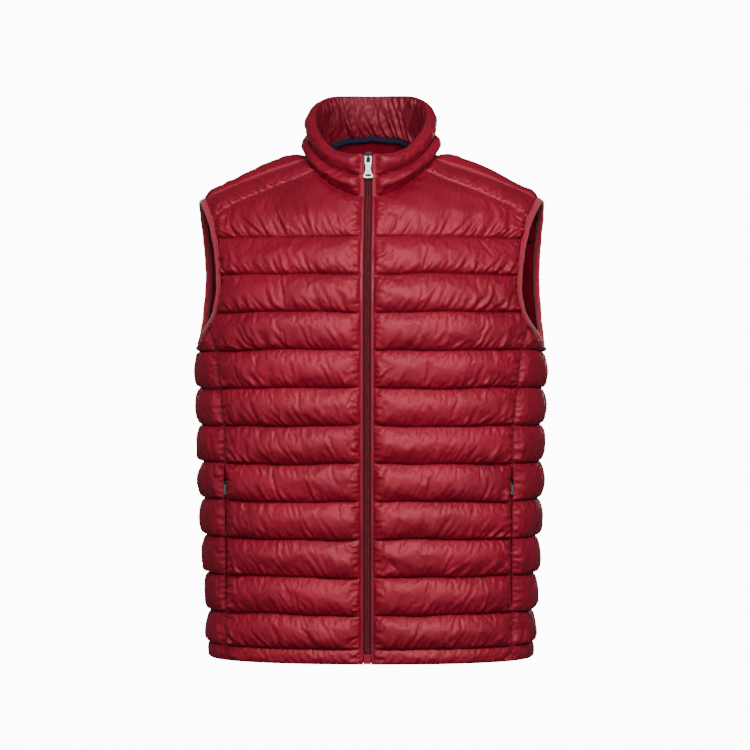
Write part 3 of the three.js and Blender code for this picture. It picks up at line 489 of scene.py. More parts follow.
def slope_point(angle, x):
    """A point by its angle down the shoulder's profile."""
    side = np.where(angle < 0, FRONT, BACK)
    fall = 1 - np.abs(np.cos(angle)) ** (2 / by_side(side, DROP_POWER))
    return body_point(side, x, ridge(side, x) - by_side(side, DROP_HEIGHT) * fall)


# Panels


def steps(low, high, size):
    """An even number of even steps from low to high, each about size long."""
    count = 2 * max(1, math.ceil(abs(high - low) / size / 2))
    return np.linspace(low, high, count + 1)


def end_to_end(*runs):
    """Runs of steps joined, with each shared end kept once."""
    return np.concatenate([runs[0]] + [run[1:] for run in runs[1:]])


def quilt_rows(top_z, step):
    """Heights from the hem up, each with its share of its channel and the channel's number."""
    lines = [HEM_Z, HEM_STITCH_Z]
    lines += [LOWEST_CHANNEL_Z + i * CHANNEL_PITCH for i in range(CHANNELS + 1)]
    lines = [z for z in lines if z < top_z + 1]
    runs = [steps(low, high, step) for low, high in zip(lines, lines[1:])]
    shares = [np.linspace(0, 1, len(run)) for run in runs]
    numbers = [np.full(len(run) - 1, i) for i, run in enumerate(runs)]
    return end_to_end(*runs), end_to_end(*shares), np.concatenate([[0]] + numbers)


def sway(p, steepness):
    """A slow uneven wave over the vest, the same on both sides of a seam, from -2 to 2."""
    turn = np.arctan2(p[..., 0], -p[..., 1])
    z = p[..., 2] / steepness
    wave = np.sin(4 * turn + z + 1.3)
    return wave + 0.7 * np.sin(7 * turn - 1.4 * z + 0.4) + 0.5 * np.sin(13 * turn + 2.1 * z)


def swell(share):
    """A filled channel's height across its width, fullest a little below its middle."""
    low = np.clip(share, 0, 1) ** CHANNEL_SAG
    return (4 * low * (1 - low)) ** CHANNEL_ROUNDNESS


def ease(distance, reach):
    """From nothing at a seam to full height at its reach from it."""
    share = np.clip(distance / np.maximum(reach, 1e-6), 0, 1)
    return np.sin(np.pi / 2 * share) ** SEAM_ROUNDNESS


def more_channels(share, channel, *runs):
    """A panel's shares and channel numbers, with a further channel for each run of shares."""
    numbers = [np.full(len(run), channel[-1] + 1 + i) for i, run in enumerate(runs)]
    return np.concatenate([share, *runs]), np.concatenate([channel, *numbers])


def all_round(grid):
    """A grid of vectors followed by its mirror image, from the middle plane on."""
    return np.concatenate([grid, grid[:, -2::-1] * MIRROR], 1)


def grid_steps(points):
    """The steps between a grid's points, across and up, and the distances they add up to."""
    across = np.diff(points, axis=1)
    upwards = np.diff(points, axis=0)
    u = np.pad(np.cumsum(np.linalg.norm(across, axis=-1), 1), ((0, 0), (1, 0)))
    v = np.pad(np.cumsum(np.linalg.norm(upwards, axis=-1), 0), ((1, 0), (0, 0)))
    return across, upwards, u, v


class Panel:
    """A cut piece as a grid of points on the body surface, rows from its foot to its head."""

    def __init__(self, points, normals, share, channel, sign=LEFT, stray=0.8):
        flip = np.array([sign, 1, 1])
        self.normals = normals * flip
        self.points = points * flip
        z = self.points[..., 2]
        fade = np.clip((-70 - z) / 60, 0, 1) * np.clip((z - HEM_STITCH_Z) / 30, 0, 1)
        upward = np.array([0, 0, 1]) - self.normals * self.normals[..., 2:]
        self.points = self.points + upward * (stray * fade * sway(self.points, 60))[..., None]
        self.share = np.broadcast_to(np.asarray(share)[:, None], points.shape[:2]).copy()
        self.channel = np.asarray(channel)
        across, upwards, self.u, self.v = grid_steps(self.points)
        self.fold = np.zeros(self.u.shape)
        self.slack = np.ones(self.u.shape)
        turned = np.cross(across[1:], upwards[:, 1:])
        self.hand = np.sign(np.einsum("ijk,ijk->", turned, self.normals[1:, 1:]))

    def between(self, first, last, reach):
        """One between the end columns, falling to none over this reach at each end's strip."""
        return ease(self.u - first, reach) * ease(self.u[:, -1:] - self.u - last, reach)

    def fill(self, first, last, reach=15.0, puff=PUFF, profile=None):
        """Sets the padding: none in the sewn strips first and last wide, then rising to puff."""
        ends = self.between(first, last, reach)
        self.pin = (self.share <= 0) | (self.share >= 1) | (ends <= 0)
        self.pin[:, 0] = True
        self.pin[:, -1] = True
        shape = swell(self.share) if profile is None else profile
        uneven = np.interp(-self.points[..., 2], (100, 380), (0.78, 1))
        uneven = uneven * (1 + 0.05 * sway(self.points, 9))
        self.thick = np.where(self.pin, STITCHED, STITCHED + puff * shape * ends * uneven)
        from_lines = np.clip(np.minimum(self.share, 1 - self.share) * 14, 0, 1)
        self.free = from_lines * np.clip(ends * 3, 0, 1)

    def thicken(self, *edges):
        for edge in edges:
            self.thick[edge] = SEAM_EDGE

    def outer(self):
        return self.points + self.normals * self.thick[..., None]

    def row_at(self, v):
        middle = self.v[:, self.v.shape[1] // 2]
        return int(np.argmin(np.abs(middle - v)))


def pocket_opening(z):
    """Half of the slit left open in the side seam for the pocket, at each height."""
    foot = np.clip((z - POCKET["bottom"] + POCKET["fade"]) / POCKET["fade"], 0, 1)
    head = np.clip((POCKET["top"] + POCKET["fade"] - z) / POCKET["fade"], 0, 1)
    near_slider = np.exp(-(((z - POCKET["slider"] + 4) / 16) ** 2))
    return lerp(POCKET["closed"], POCKET["open"], near_slider) * foot * head


def soften_hem(panel):
    """Flattens the turned-up hem below its stitches."""
    hem = panel.channel == 0
    panel.thick[hem] = lerp(STITCHED + 0.6, panel.thick[hem], HEM_FULLNESS)


def bound_strip(panel):
    """The width of the strip under the armhole's binding, at each of a panel's rows."""
    return np.where(panel.points[:, -1, 2] > ARMHOLE_CORNER_Z, BOUND_STRIP, 0)[:, None]


def front_head(x, corner_x):
    """The front's top edge: the neckline as far as corner_x, then the yoke seam."""
    at_neck = x < corner_x + 0.01
    neck_deg = np.where(at_neck, degrees_at(x, NECK_HALF_WIDTH), 0)
    seam = body_point(FRONT, x, yoke_seam_z(x))
    return np.where(at_neck[:, None], neck_point(neck_deg), seam), at_neck, neck_deg


def front_patch(chest_x, head, strip_x, shares, up):
    """The front's rows from the chest line to its top edge, drawn in beside the armhole."""
    side_x = front_armhole_x(lerp(CHEST_LINE_Z, yoke_seam_z(YOKE_TIP_X), up))
    x = lerp(lerp(chest_x, head[:, 0], up), lerp(ZIP_STITCH_X, side_x, shares), shares)
    x[:, : len(strip_x)] = strip_x
    patch = body_point(FRONT, x, lerp(CHEST_LINE_Z, head[:, 2], up))
    patch[-1] = head
    return patch


def front_panel(sign):
    """Half of the front, from the zip to the side seam and from the hem to the neck and yoke."""
    corner_x = float(neck_point(np.array(YOKE_CORNER_DEG))[0])
    inner_x = steps(ZIP_STITCH_X, corner_x, ACROSS)
    top_x = end_to_end(inner_x, steps(corner_x, YOKE_TIP_X, ACROSS))
    strip_x = steps(ZIP_EDGE_X, ZIP_STITCH_X, ACROSS)[:-1]
    shares = (top_x - ZIP_STITCH_X) / (YOKE_TIP_X - ZIP_STITCH_X)
    z, share, channel = quilt_rows(CHEST_LINE_Z, UPWARD)
    seam = front_seam_x(z) - 0.72 * pocket_opening(z)
    edge_x = np.where(z > ARMHOLE_CORNER_Z, front_armhole_x(z), seam)
    body_x = lerp(ZIP_STITCH_X, edge_x[:, None], shares[None])
    x = np.concatenate([np.broadcast_to(strip_x, (len(z), len(strip_x))), body_x], 1)
    below = body_point(FRONT, x, np.broadcast_to(z[:, None], x.shape))
    head, at_neck, neck_deg = front_head(np.concatenate([strip_x, top_x]), corner_x)
    head_shares = np.concatenate([0 * strip_x, shares])
    up = steps(0, 1, UPWARD / 75)[1:, None]
    patch = front_patch(below[-1, :, 0], head, strip_x, head_shares, up)
    points = np.concatenate([below, patch])
    normals = body_normal(FRONT, points)
    normals[-1] = np.where(at_neck[:, None], neck_mitre(neck_deg), normals[-1])
    share, channel = more_channels(share, channel, up[:, 0])
    panel = Panel(points, normals, share, channel, sign)
    panel.fill(ZIP_STRIP, bound_strip(panel))
    soften_hem(panel)
    panel.thicken(np.s_[-1, :], np.s_[:, -1])
    panel.thick[:, : len(strip_x)] = STITCHED + np.sin(np.pi * np.linspace(0.1, 0.9, len(strip_x)))
    return panel


def side_panel(sign):
    """The side, from the front side seam round to the back one, under the armhole."""
    along = steps(0, 1, ACROSS / 122)

    def turns(z):
        slit = pocket_opening(z) / 120
        return lerp(turn_of(front_seam_x(z), z) - slit, -turn_of(back_seam_x(z), z), along)

    z, share, channel = quilt_rows(SIDE_LINE_Z, UPWARD)
    below = turn_point(turns(z[:, None]), np.broadcast_to(z[:, None], (len(z), len(along))))
    up = steps(0, 1, UPWARD / 32)[1:, None]
    seam_z = lerp(SIDE_LINE_Z, ARMHOLE_CORNER_Z, up)
    patch = turn_point(turns(seam_z), lerp(SIDE_LINE_Z, underarm_z(along), up))
    points = np.concatenate([below, patch])
    normals = body_normal(np.where(points[..., 1] < 0, FRONT, BACK), points)
    share, channel = more_channels(share, channel, up[:, 0] * UNDERARM_SHARE)
    panel = Panel(points, normals, share, channel, sign)
    panel.fill(0, 0, puff=SIDE_PUFF)
    room = panel.v[-1:] - panel.v
    panel.thick = STITCHED + (panel.thick - STITCHED) * ease(room - BOUND_STRIP, 12)
    panel.pin |= room < BOUND_STRIP
    panel.free = panel.free * np.clip(room / 8 - 0.5, 0, 1)
    soften_hem(panel)
    panel.thicken(np.s_[-1, :], np.s_[:, 0], np.s_[:, -1])
    return panel


def fill_back(panel):
    """Pads the back, thinly near its head but for a rise on each shoulder beside the neck."""
    panel.fill(bound_strip(panel), bound_strip(panel))
    soften_hem(panel)
    room = np.linalg.norm(panel.points - panel.points[-1:], axis=-1)
    out = np.abs(panel.points[..., 0])
    rise = np.interp(out, BACK_RISE["x"], BACK_RISE["rise"])
    panel.thick = np.minimum(panel.thick, STITCHED + rise * room)
    beside_neck = np.exp(-(((out - SHOULDER_PAD_X) / SHOULDER_PAD_SPREAD) ** 2))
    on_top = np.clip(1.6 - panel.points[..., 1] / 40, 0, 1) * ease(room, 35)
    panel.thick = panel.thick + SHOULDER_PAD * beside_neck * on_top
    panel.slack = np.clip(room / 60 - 0.1, 0, 1)
    panel.free = panel.free * panel.slack
    panel.thicken(np.s_[-1, :], np.s_[:, 0], np.s_[:, -1])


def back_head(shares, corner):
    """The back's top edge: the neckline as far as its corner, then the shoulder seam."""
    at_neck = shares <= corner
    neck_deg = np.interp(shares, BACK_NECK["share"], BACK_NECK["deg"])
    along = np.interp(shares, BACK_SHOULDER["share"], BACK_SHOULDER["along"])
    head = np.where(at_neck[:, None], neck_point(neck_deg), shoulder_seam_point(along))
    return head, at_neck, neck_deg


def back_panel():
    """The whole back, over the shoulders to the shoulder seams."""
    corner = BACK_SHOULDER["share"][0]
    to_corner = steps(0, corner, BACK_ACROSS / 262)
    shares = end_to_end(to_corner, steps(corner, 1, BACK_ACROSS / 225))
    head, at_neck, neck_deg = back_head(shares, corner)
    bow = np.interp(shares, BACK_BOW["share"], BACK_BOW["bow"])
    z, share, channel = quilt_rows(CHEST_LINE_Z, BACK_UPWARD)
    edge_x = np.where(z > ARMHOLE_CORNER_Z, back_armhole_x(z), back_seam_x(z))
    turn = -lerp(np.pi / 2, turn_of(edge_x, z)[:, None], shares)
    below = turn_point(turn, np.broadcast_to(z[:, None], turn.shape))
    lines = np.linspace(0, 1, BACK_TOP_CHANNELS + 1)
    runs = [steps(low, high, BACK_UPWARD / 190) for low, high in zip(lines, lines[1:])]
    up = end_to_end(*runs)[1:, None]
    chest = below[-1]
    straight = lerp(chest[:, 0], head[:, 0], up) + bow * up**3 * (1 - up)
    x = lerp(straight, back_tip_x(up), shares**4)
    start = slope_angle(np.full(len(shares), BACK), chest[:, 0], chest[:, 2])
    end = slope_angle(np.where(head[:, 1] < 0, FRONT, BACK), head[:, 0], head[:, 2])
    angle = lerp(start, end, up)
    patch = slope_point(angle, x)
    patch[-1] = head
    points = np.concatenate([below, patch])
    side = np.concatenate([np.full(below.shape[:2], BACK), np.where(angle < 0, FRONT, BACK)])
    normals = body_normal(side, points)
    normals[-1] = np.where(at_neck[:, None], neck_mitre(neck_deg), normals[-1])
    top_shares = [np.linspace(0, 1, len(run))[1:] for run in runs]
    share, channel = more_channels(share, channel, *top_shares)
    points = np.concatenate([points[:, :0:-1] * MIRROR, points], 1)
    normals = np.concatenate([normals[:, :0:-1] * MIRROR, normals], 1)
    panel = Panel(points, normals, share, channel)
    fill_back(panel)
    return panel


def yoke_panel(sign):
    """The strip between the front yoke seam and the shoulder seam."""
    corner = neck_point(np.array(YOKE_CORNER_DEG))
    along = steps(0, 1, ACROSS / 140)
    foot_x = lerp(corner[0], YOKE_TIP_X, along)
    foot = body_point(FRONT, foot_x, yoke_seam_z(foot_x))
    foot[0] = corner
    seam = shoulder_seam_point(along)
    up = steps(0, 1, 1.8 / 36)
    foot_drop = ridge(FRONT, foot[:, 0]) - foot[:, 2]
    seam_drop = ridge(FRONT, seam[:, 0]) - seam[:, 2]
    x = lerp(foot[:, 0], seam[:, 0], up[:, None])
    points = body_point(FRONT, x, ridge(FRONT, x) - lerp(foot_drop, seam_drop, up[:, None]))
    neck_deg = lerp(YOKE_CORNER_DEG, SHOULDER_CORNER_DEG, up)
    points[0] = foot
    points[-1] = seam
    points[:, 0] = neck_point(neck_deg)
    normals = body_normal(FRONT, points)
    normals[:, 0] = neck_mitre(neck_deg)
    panel = Panel(points, normals, up, np.zeros(len(up), int), sign)
    panel.fill(0, BOUND_STRIP, 14, 6.0)
    panel.thick = np.maximum(panel.thick, np.where(panel.v < 5, SEAM_EDGE + 0.8, 0))
    panel.thicken(np.s_[0, :], np.s_[-1, :], np.s_[:, 0], np.s_[:, -1])
    return panel


def collar_columns(step):
    """Columns from the middle front round to the middle back, as degrees and distances in x."""
    strip = steps(ZIP_EDGE_X, ZIP_STITCH_X, step)
    beside = steps(ZIP_STITCH_X, ZIP_STITCH_X + 5.5, step)
    x = end_to_end(strip, beside)
    deg = steps(float(degrees_at(x[-1], COLLAR_HALF_WIDTH)), 180, step * 0.74)[1:]
    far = np.full(len(deg), 1e3)
    return np.concatenate([degrees_at(x, COLLAR_HALF_WIDTH), deg]), np.concatenate([x, far])


def ring_panel(deg, x_zip, up, share, channel, inward=False):
    """A panel all round the neck, from the left zip edge to the right one."""
    grid_deg, grid_up = np.meshgrid(deg, up)
    points = collar_column(grid_deg, np.broadcast_to(x_zip, grid_deg.shape), grid_up)
    normals = collar_normal(grid_deg, grid_up)
    if up[0] == 0:
        normals[0] = neck_mitre(deg)
    if inward:
        normals = -normals
    return Panel(all_round(points), all_round(normals), share, channel, stray=0)


def collar_panel():
    """The stand-up collar's outer side, two channels high."""
    deg, x_zip = collar_columns(1.6)
    half = steps(0, 0.5, 1.7 / 56)
    up = end_to_end(half, half + 0.5)
    share = end_to_end(half * 2, half * 2)
    channel = np.where(up <= 0.5, 0, 1)
    panel = ring_panel(deg, x_zip, up, share, channel)
    s = panel.share
    low = (4 * s**1.35 * (1 - s**1.35)) ** 0.62
    high = (1 - s**4.5) ** 0.5 * (1 - (1 - s) ** 3) ** 0.75
    profile = np.where(channel[:, None] == 0, low, high)
    panel.fill(ZIP_STRIP, ZIP_STRIP, 12, COLLAR_PUFF, profile)
    clear = panel.between(ZIP_STRIP + 1.5, ZIP_STRIP + 1.5, 25)
    panel.thick = np.maximum(panel.thick, COLLAR_STITCHED * clear)
    room = np.linalg.norm(panel.points - panel.points[:1], axis=-1)
    panel.thick = np.minimum(panel.thick, SEAM_EDGE + 0.8 * room)
    panel.thicken(np.s_[0, :])
    panel.thick[-1] = COLLAR_RIM_EDGE
    return panel


def collar_lining_panel():
    """The collar's inner side, from the neck tape to the rim."""
    deg, x_zip = collar_columns(1.6)
    kept = np.flatnonzero(deg > degrees_at(COLLAR_LINING_X, COLLAR_LINING_HALF_WIDTH))
    kept = kept[(len(kept) - 1) % 2 :]
    up = steps(*COLLAR_LINING_UP, 1.8 / 54)
    share = np.linspace(0, 1, len(up))
    channel = np.zeros(len(up), int)
    panel = ring_panel(deg[kept], x_zip[kept], up, share, channel, inward=True)
    panel.fill(0, 0, 14, COLLAR_LINING_PUFF)
    return panel


# Pleats


def add_pleat(panel, rows, u, v, lean, length, width, height):
    """A ridge with a trough beside it, narrow at its root and dying away towards its tip."""
    run = panel.u[(rows.start + rows.stop) // 2]
    reach = abs(length * math.sin(lean)) + 6 * width
    columns = slice(*np.searchsorted(run, (u - reach, u + reach)))
    du = panel.u[rows, columns] - u
    dv = panel.v[rows, columns] - v
    along = (dv * math.cos(lean) + du * math.sin(lean)) / length
    spread = width * (1 + 1.3 * np.clip(along, 0, 1))
    across = (du * math.cos(lean) - dv * math.sin(lean)) / spread
    fade = np.clip(along * 6 + 0.5, 0, 1) * np.clip(1 - along, 0, 1)
    shape = np.exp(-(across**2)) - 0.8 * np.exp(-((across - 1.6) ** 2))
    panel.fold[rows, columns] += height * fade * shape


def crease(panel, lean=1.0, edge=0.0, amount=1.0):
    """Uneven pleats all over a panel. lean scales their slant away from the first column, and
    edge makes them stronger towards the last one."""
    width = float(panel.u[:, -1].mean())
    for number in np.unique(panel.channel):
        inside = np.flatnonzero(panel.channel == number)
        rows = slice(max(inside[0] - 1, 0), inside[-1] + 1)
        tall = float(np.ptp(panel.v[rows, panel.v.shape[1] // 2]))
        for kind in PLEATS:
            upright = kind["from"] == "foot"
            for _ in range(int(width / kind["every"])):
                u = RANDOM.uniform(0, width)
                column = min(int(np.searchsorted(panel.u[rows.start], u)), panel.u.shape[1] - 1)
                v = panel.v[rows.start if upright else rows.stop - 1, column]
                outward = lerp(1 - edge, 1 + edge, (u / width) ** 1.5)
                slant = math.radians(RANDOM.normal(*kind["lean"])) * lean * lerp(0.7, 1.2, u / width)
                length = tall * RANDOM.uniform(*kind["long"])
                height = RANDOM.uniform(*kind["high"]) * outward * amount * min(1, tall / 35)
                turn = slant if upright else slant + math.pi
                add_pleat(panel, rows, u, v, turn, length, RANDOM.uniform(*kind["wide"]), height)


def pucker(panel, last, start, every, length, width, height):
    """Pleats drawn in from an upright seam, on the first or the last column's side."""
    v = RANDOM.uniform(0, every)
    tall = float(panel.v[-1].mean())
    while v < tall:
        row = panel.row_at(v)
        rows = slice(max(row - 14, 0), min(row + 14, len(panel.u)))
        u = panel.u[row, -1] - start if last else start
        turn = math.radians((-90 if last else 90) + RANDOM.normal(0, 16))
        grown = RANDOM.uniform(0.5, 1.3)
        root = panel.v[row, -1 if last else 0]
        add_pleat(panel, rows, u, root, turn, length * grown, width, height * grown)
        v += every * RANDOM.uniform(0.6, 1.5)


# Cloth


def grid_faces(rows, columns):
    """The quads of a grid of points."""
    first = np.arange((rows - 1) * columns).reshape(rows - 1, columns)[:, :-1]
    quads = np.stack([first, first + 1, first + 1 + columns, first + columns], -1)
    return quads.reshape(-1, 4)


def rim_of(rows, columns):
    """A grid's boundary, point by point."""
    foot = np.arange(columns)
    right = np.arange(1, rows) * columns + columns - 1
    head = (rows - 1) * columns + np.arange(columns - 2, -1, -1)
    left = np.arange(rows - 2, 0, -1) * columns
    return np.concatenate([foot, right, head, left])


def new_piece(name, points, faces, uv=None, flat_faces=0):
    """A smooth mesh object from points in millimetres, with its last few faces left flat."""
    mesh = bpy.data.meshes.new(name)
    mesh.from_pydata(np.asarray(points) * MM, [], [list(map(int, face)) for face in faces])
    mesh.update()
    if uv is not None:
        layer = mesh.uv_layers.new(name="UVMap")
        corner = np.empty(len(mesh.loops), np.int32)
        mesh.loops.foreach_get("vertex_index", corner)
        layer.data.foreach_set("uv", (np.asarray(uv, float)[corner] * MM).ravel())
    smooth = np.ones(len(mesh.polygons), bool)
    smooth[len(smooth) - flat_faces :] = False
    mesh.polygons.foreach_set("use_smooth", smooth)
    piece = bpy.data.objects.new(name, mesh)
    bpy.context.scene.collection.objects.link(piece)
    return piece


def turn_out(piece):
    """Points the faces of a closed piece outwards."""
    work = bmesh.new()
    work.from_mesh(piece.data)
    if work.calc_volume(signed=True) < 0:
        bmesh.ops.reverse_faces(work, faces=work.faces)
    work.to_mesh(piece.data)
    work.free()
    return piece


def halfway(values):
    """Twice as many rows, with each new one halfway along a smooth line through its neighbours."""
    ends = np.concatenate([2 * values[:1] - values[1:2], values, 2 * values[-1:] - values[-2:-1]])
    middle = (9 * (ends[1:-2] + ends[2:-1]) - ends[:-3] - ends[3:]) / 16
    finer = np.empty((2 * len(values) - 1,) + values.shape[1:])
    finer[::2] = values
    finer[1::2] = middle
    return finer


def cloth_sheet(name, panel, start, pressure, growth):
    """A sheet of Blender's cloth, pinned at its stitches and cut larger by growth."""
    faces = grid_faces(*start.shape[:2])
    if panel.hand < 0:
        faces = faces[:, ::-1]
    piece = new_piece(f"{name}_cloth", start.reshape(-1, 3), faces)
    pins = piece.vertex_groups.new(name="stitched")
    pins.add(np.flatnonzero(panel.pin[::2, ::2].ravel()).tolist(), 1.0, "REPLACE")
    cloth = piece.modifiers.new("Cloth", "CLOTH")
    settings = cloth.settings
    settings.quality = 4
    settings.mass = 0.03
    settings.air_damping = 1.0
    settings.tension_stiffness = 15
    settings.compression_stiffness = 15
    settings.shear_stiffness = 5
    settings.bending_stiffness = 0.01
    settings.vertex_group_mass = "stitched"
    settings.shrink_min = -growth
    settings.use_pressure = True
    settings.uniform_pressure_force = pressure
    settings.effector_weights.gravity = 0
    cloth.collision_settings.use_collision = False
    cloth.collision_settings.use_self_collision = False
    cloth.point_cache.frame_start = 1
    cloth.point_cache.frame_end = SIM_FRAMES
    return piece


def blow_out(name, panel, start, pressure, growth):
    """How far a panel's outer side moves when its cloth fills out under pressure."""
    start = start[::2, ::2]
    piece = cloth_sheet(name, panel, start, pressure, growth)
    scene = bpy.context.scene
    for number in range(1, SIM_FRAMES + 1):
        scene.frame_set(number)
    shown = piece.evaluated_get(bpy.context.evaluated_depsgraph_get()).to_mesh()
    moved = np.empty(len(shown.vertices) * 3)
    shown.vertices.foreach_get("co", moved)
    scene.frame_set(1)
    bpy.data.objects.remove(piece)
    shift = moved.reshape(start.shape) / MM - start
    far = np.linalg.norm(shift, axis=-1, keepdims=True)
    shift = shift * np.minimum(1, MOST_MOVEMENT / np.maximum(far, 1e-6))
    shift = shift * panel.slack[::2, ::2, None]
    return np.swapaxes(halfway(np.swapaxes(halfway(shift), 0, 1)), 0, 1)


def quilted(name, panel, pressure=3.0, growth=0.014, lining=0.3):
    """The closed padded piece: its outer side as pleated and blown out, and its lining."""
    pleats = panel.normals * (panel.fold * panel.free)[..., None]
    outer = panel.outer() + pleats
    outer = outer + blow_out(name, panel, outer, pressure, growth) + PLEATS_OVER_CLOTH * pleats
    lift = np.einsum("ijk,ijk->ij", outer - panel.points, panel.normals)
    lift = lining * np.clip(lift - SEAM_EDGE, 0, None)
    inner = (panel.points - panel.normals * lift[..., None])[::2, ::2]
    rows, columns = outer.shape[:2]
    low_rows, low_columns = inner.shape[:2]
    count = rows * columns
    front = grid_faces(rows, columns)
    back = grid_faces(low_rows, low_columns)[:, ::-1] + count
    fine = rim_of(rows, columns)
    coarse = rim_of(low_rows, low_columns) + count
    walls = []
    for k in range(len(coarse)):
        far = fine[(2 * k + 2) % len(fine)]
        walls.append((far, fine[2 * k + 1], fine[2 * k], coarse[k], coarse[(k + 1) % len(coarse)]))
    points = np.concatenate([outer.reshape(-1, 3), inner.reshape(-1, 3)])
    uv = np.stack([panel.u, panel.v], -1)
    uv = np.concatenate([uv.reshape(-1, 2), uv[::2, ::2].reshape(-1, 2)])
    piece = new_piece(name, points, list(front) + list(back) + walls, uv, len(walls))
    return sharpen(turn_out(piece), panel)


def sharpen(piece, panel):
    """Sharp creases along a panel's stitched lines."""
    columns = panel.u.shape[1]
    line = np.zeros(len(piece.data.vertices), int)
    for row in np.flatnonzero(panel.share[:, 0] >= 1):
        line[row * columns : (row + 1) * columns] = row + 1
    ends = np.empty(2 * len(piece.data.edges), np.int32)
    piece.data.edges.foreach_get("vertices", ends)
    first, second = line[ends.reshape(-1, 2)].T
    piece.data.edges.foreach_set("use_edge_sharp", (first > 0) & (first == second))
    return piece


def slab(name, points, normals, low, high):
    """A thin closed strip between two offsets from a grid of points, and its flat size."""
    rows, columns = points.shape[:2]
    count = rows * columns
    faces = grid_faces(rows, columns)
    rim = rim_of(rows, columns)
    after = np.roll(rim, -1)
    walls = np.stack([after, rim, rim + count, after + count], -1)
    _, _, u, v = grid_steps(points)
    uv = np.stack([u.ravel(), v.ravel()], -1)
    top = (points + normals * high).reshape(-1, 3)
    bottom = (points + normals * low).reshape(-1, 3)
    all_faces = np.concatenate([faces, faces[:, ::-1] + count, walls])
    both = np.concatenate([top, bottom])
    piece = new_piece(name, both, all_faces, np.concatenate([uv, uv]), len(walls))
    return turn_out(piece), (float(u[:, -1].mean()) * MM, float(v[-1].mean()) * MM)


def along_line(points, spacing, closed=False):
    """Even places on a line, as fractional positions among its points, and its length."""
    if closed:
        points = np.concatenate([points, points[:1]])
    reach = np.concatenate([[0], np.cumsum(np.linalg.norm(np.diff(points, axis=0), axis=-1))])
    count = max(2, int(round(reach[-1] / spacing)))
    at = (np.arange(count) + 0.5) * reach[-1] / count
    return np.interp(at, reach, np.arange(len(reach))), reach[-1]


def pick(values, where):
    """Values at fractional positions along a line."""
    low = np.clip(np.floor(where).astype(int), 0, len(values) - 2)
    return lerp(values[low], values[low + 1], (where - low)[:, None])


def repeated(name, shape, faces, centres, along, up):
    """One mesh of many copies of a small shape, each with its own direction."""
    along = unit(along)
    up = unit(up - along * np.einsum("ij,ij->i", up, along)[:, None])
    across = np.cross(up, along)
    points = centres[:, None] + along[:, None] * shape[None, :, :1]
    points = points + across[:, None] * shape[None, :, 1:2] + up[:, None] * shape[None, :, 2:]
    all_faces = []
    for first in range(0, len(centres) * len(shape), len(shape)):
        all_faces += [[corner + first for corner in face] for face in faces]
    return turn_out(new_piece(name, points.reshape(-1, 3), all_faces))


def bead(length, width, height, sides=5):
    """A small rounded bar lying along its first axis, with pointed ends."""
    turn = np.arange(sides) * 2 * np.pi / sides
    ring = np.stack([0 * turn, np.cos(turn) * width / 2, np.sin(turn) * height / 2], -1)
    shift = np.array([length * 0.32, 0, 0])
    tip = np.array([[length / 2, 0, 0]])
    points = np.concatenate([-tip, ring - shift, ring + shift, tip])
    faces = []
    for k in range(sides):
        after = (k + 1) % sides
        faces.append((0, 1 + after, 1 + k))
        faces.append((1 + k, 1 + after, 1 + sides + after, 1 + sides + k))
        faces.append((1 + sides + k, 1 + sides + after, 2 * sides + 1))
    return points, faces


class Stitches:
    """Runs of stitches that end up in one mesh."""

    def __init__(self):
        self.centres = []
        self.along = []
        self.up = []

    def run(self, points, normals, spacing=STITCH_SPACING, closed=False):
        where, _ = along_line(points, spacing, closed)
        if closed:
            points = np.concatenate([points, points[:1]])
            normals = np.concatenate([normals, normals[:1]])
        ahead = pick(points, np.minimum(where + 0.5, len(points) - 1))
        behind = pick(points, np.maximum(where - 0.5, 0))
        self.centres.append(pick(points, where))
        self.along.append(ahead - behind)
        self.up.append(pick(normals, where))

    def piece(self, name, length=1.7, thickness=1.2):
        shape, faces = bead(length, thickness, thickness)
        centres = np.concatenate(self.centres)
        along = np.concatenate(self.along)
        return repeated(name, shape, faces, centres, along, np.concatenate(self.up))


# Materials


class Surface:
    """A new material: its nodes, and the shader that they feed."""

    def __init__(self, name):
        self.material = bpy.data.materials.new(name)
        self.material.use_nodes = True
        self.nodes = self.material.node_tree.nodes
        self.links = self.material.node_tree.links
        self.shader = self.nodes["Principled BSDF"]
        self.relief = None

    def add(self, kind, source=None, **inputs):
        """The outputs of a new node, with its inputs set and its first one fed from source."""
        node = self.nodes.new("ShaderNode" + kind)
        for socket, value in inputs.items():
            node.inputs[socket.replace("_", " ")].default_value = value
        if source is not None:
            self.links.new(source, node.inputs[0])
        return node.outputs

    def place(self, kind="Object"):
        return self.add("TexCoord")[kind]

    def shade(self, factor, dark, light, low=0.3, high=0.7):
        """Colours the surface from dark to light by a factor."""
        ramp = self.nodes.new("ShaderNodeValToRGB")
        first, last = ramp.color_ramp.elements
        first.position = low
        first.color = dark
        last.position = high
        last.color = light
        self.links.new(factor, ramp.inputs["Fac"])
        self.links.new(ramp.outputs["Color"], self.shader.inputs["Base Color"])

    def bump(self, height, strength, distance):
        """Adds fine relief to what there is so far."""
        node = self.nodes.new("ShaderNodeBump")
        node.inputs["Strength"].default_value = strength
        node.inputs["Distance"].default_value = distance
        self.links.new(height, node.inputs["Height"])
        if self.relief is not None:
            self.links.new(self.relief, node.inputs["Normal"])
        self.relief = node.outputs["Normal"]

    def roughen(self, factor, least, most):
        rough = self.add("MapRange", factor, To_Min=least, To_Max=most)
        self.links.new(rough["Result"], self.shader.inputs["Roughness"])

    def settle(self, settings):
        """The finished material, with the shader's plain settings."""
        if self.relief is not None:
            self.links.new(self.relief, self.shader.inputs["Normal"])
        for socket, value in settings.items():
            self.shader.inputs[socket].default_value = value
        return self.material


def darker(colour, share):
    return tuple(share * c for c in colour[:3]) + (1,)


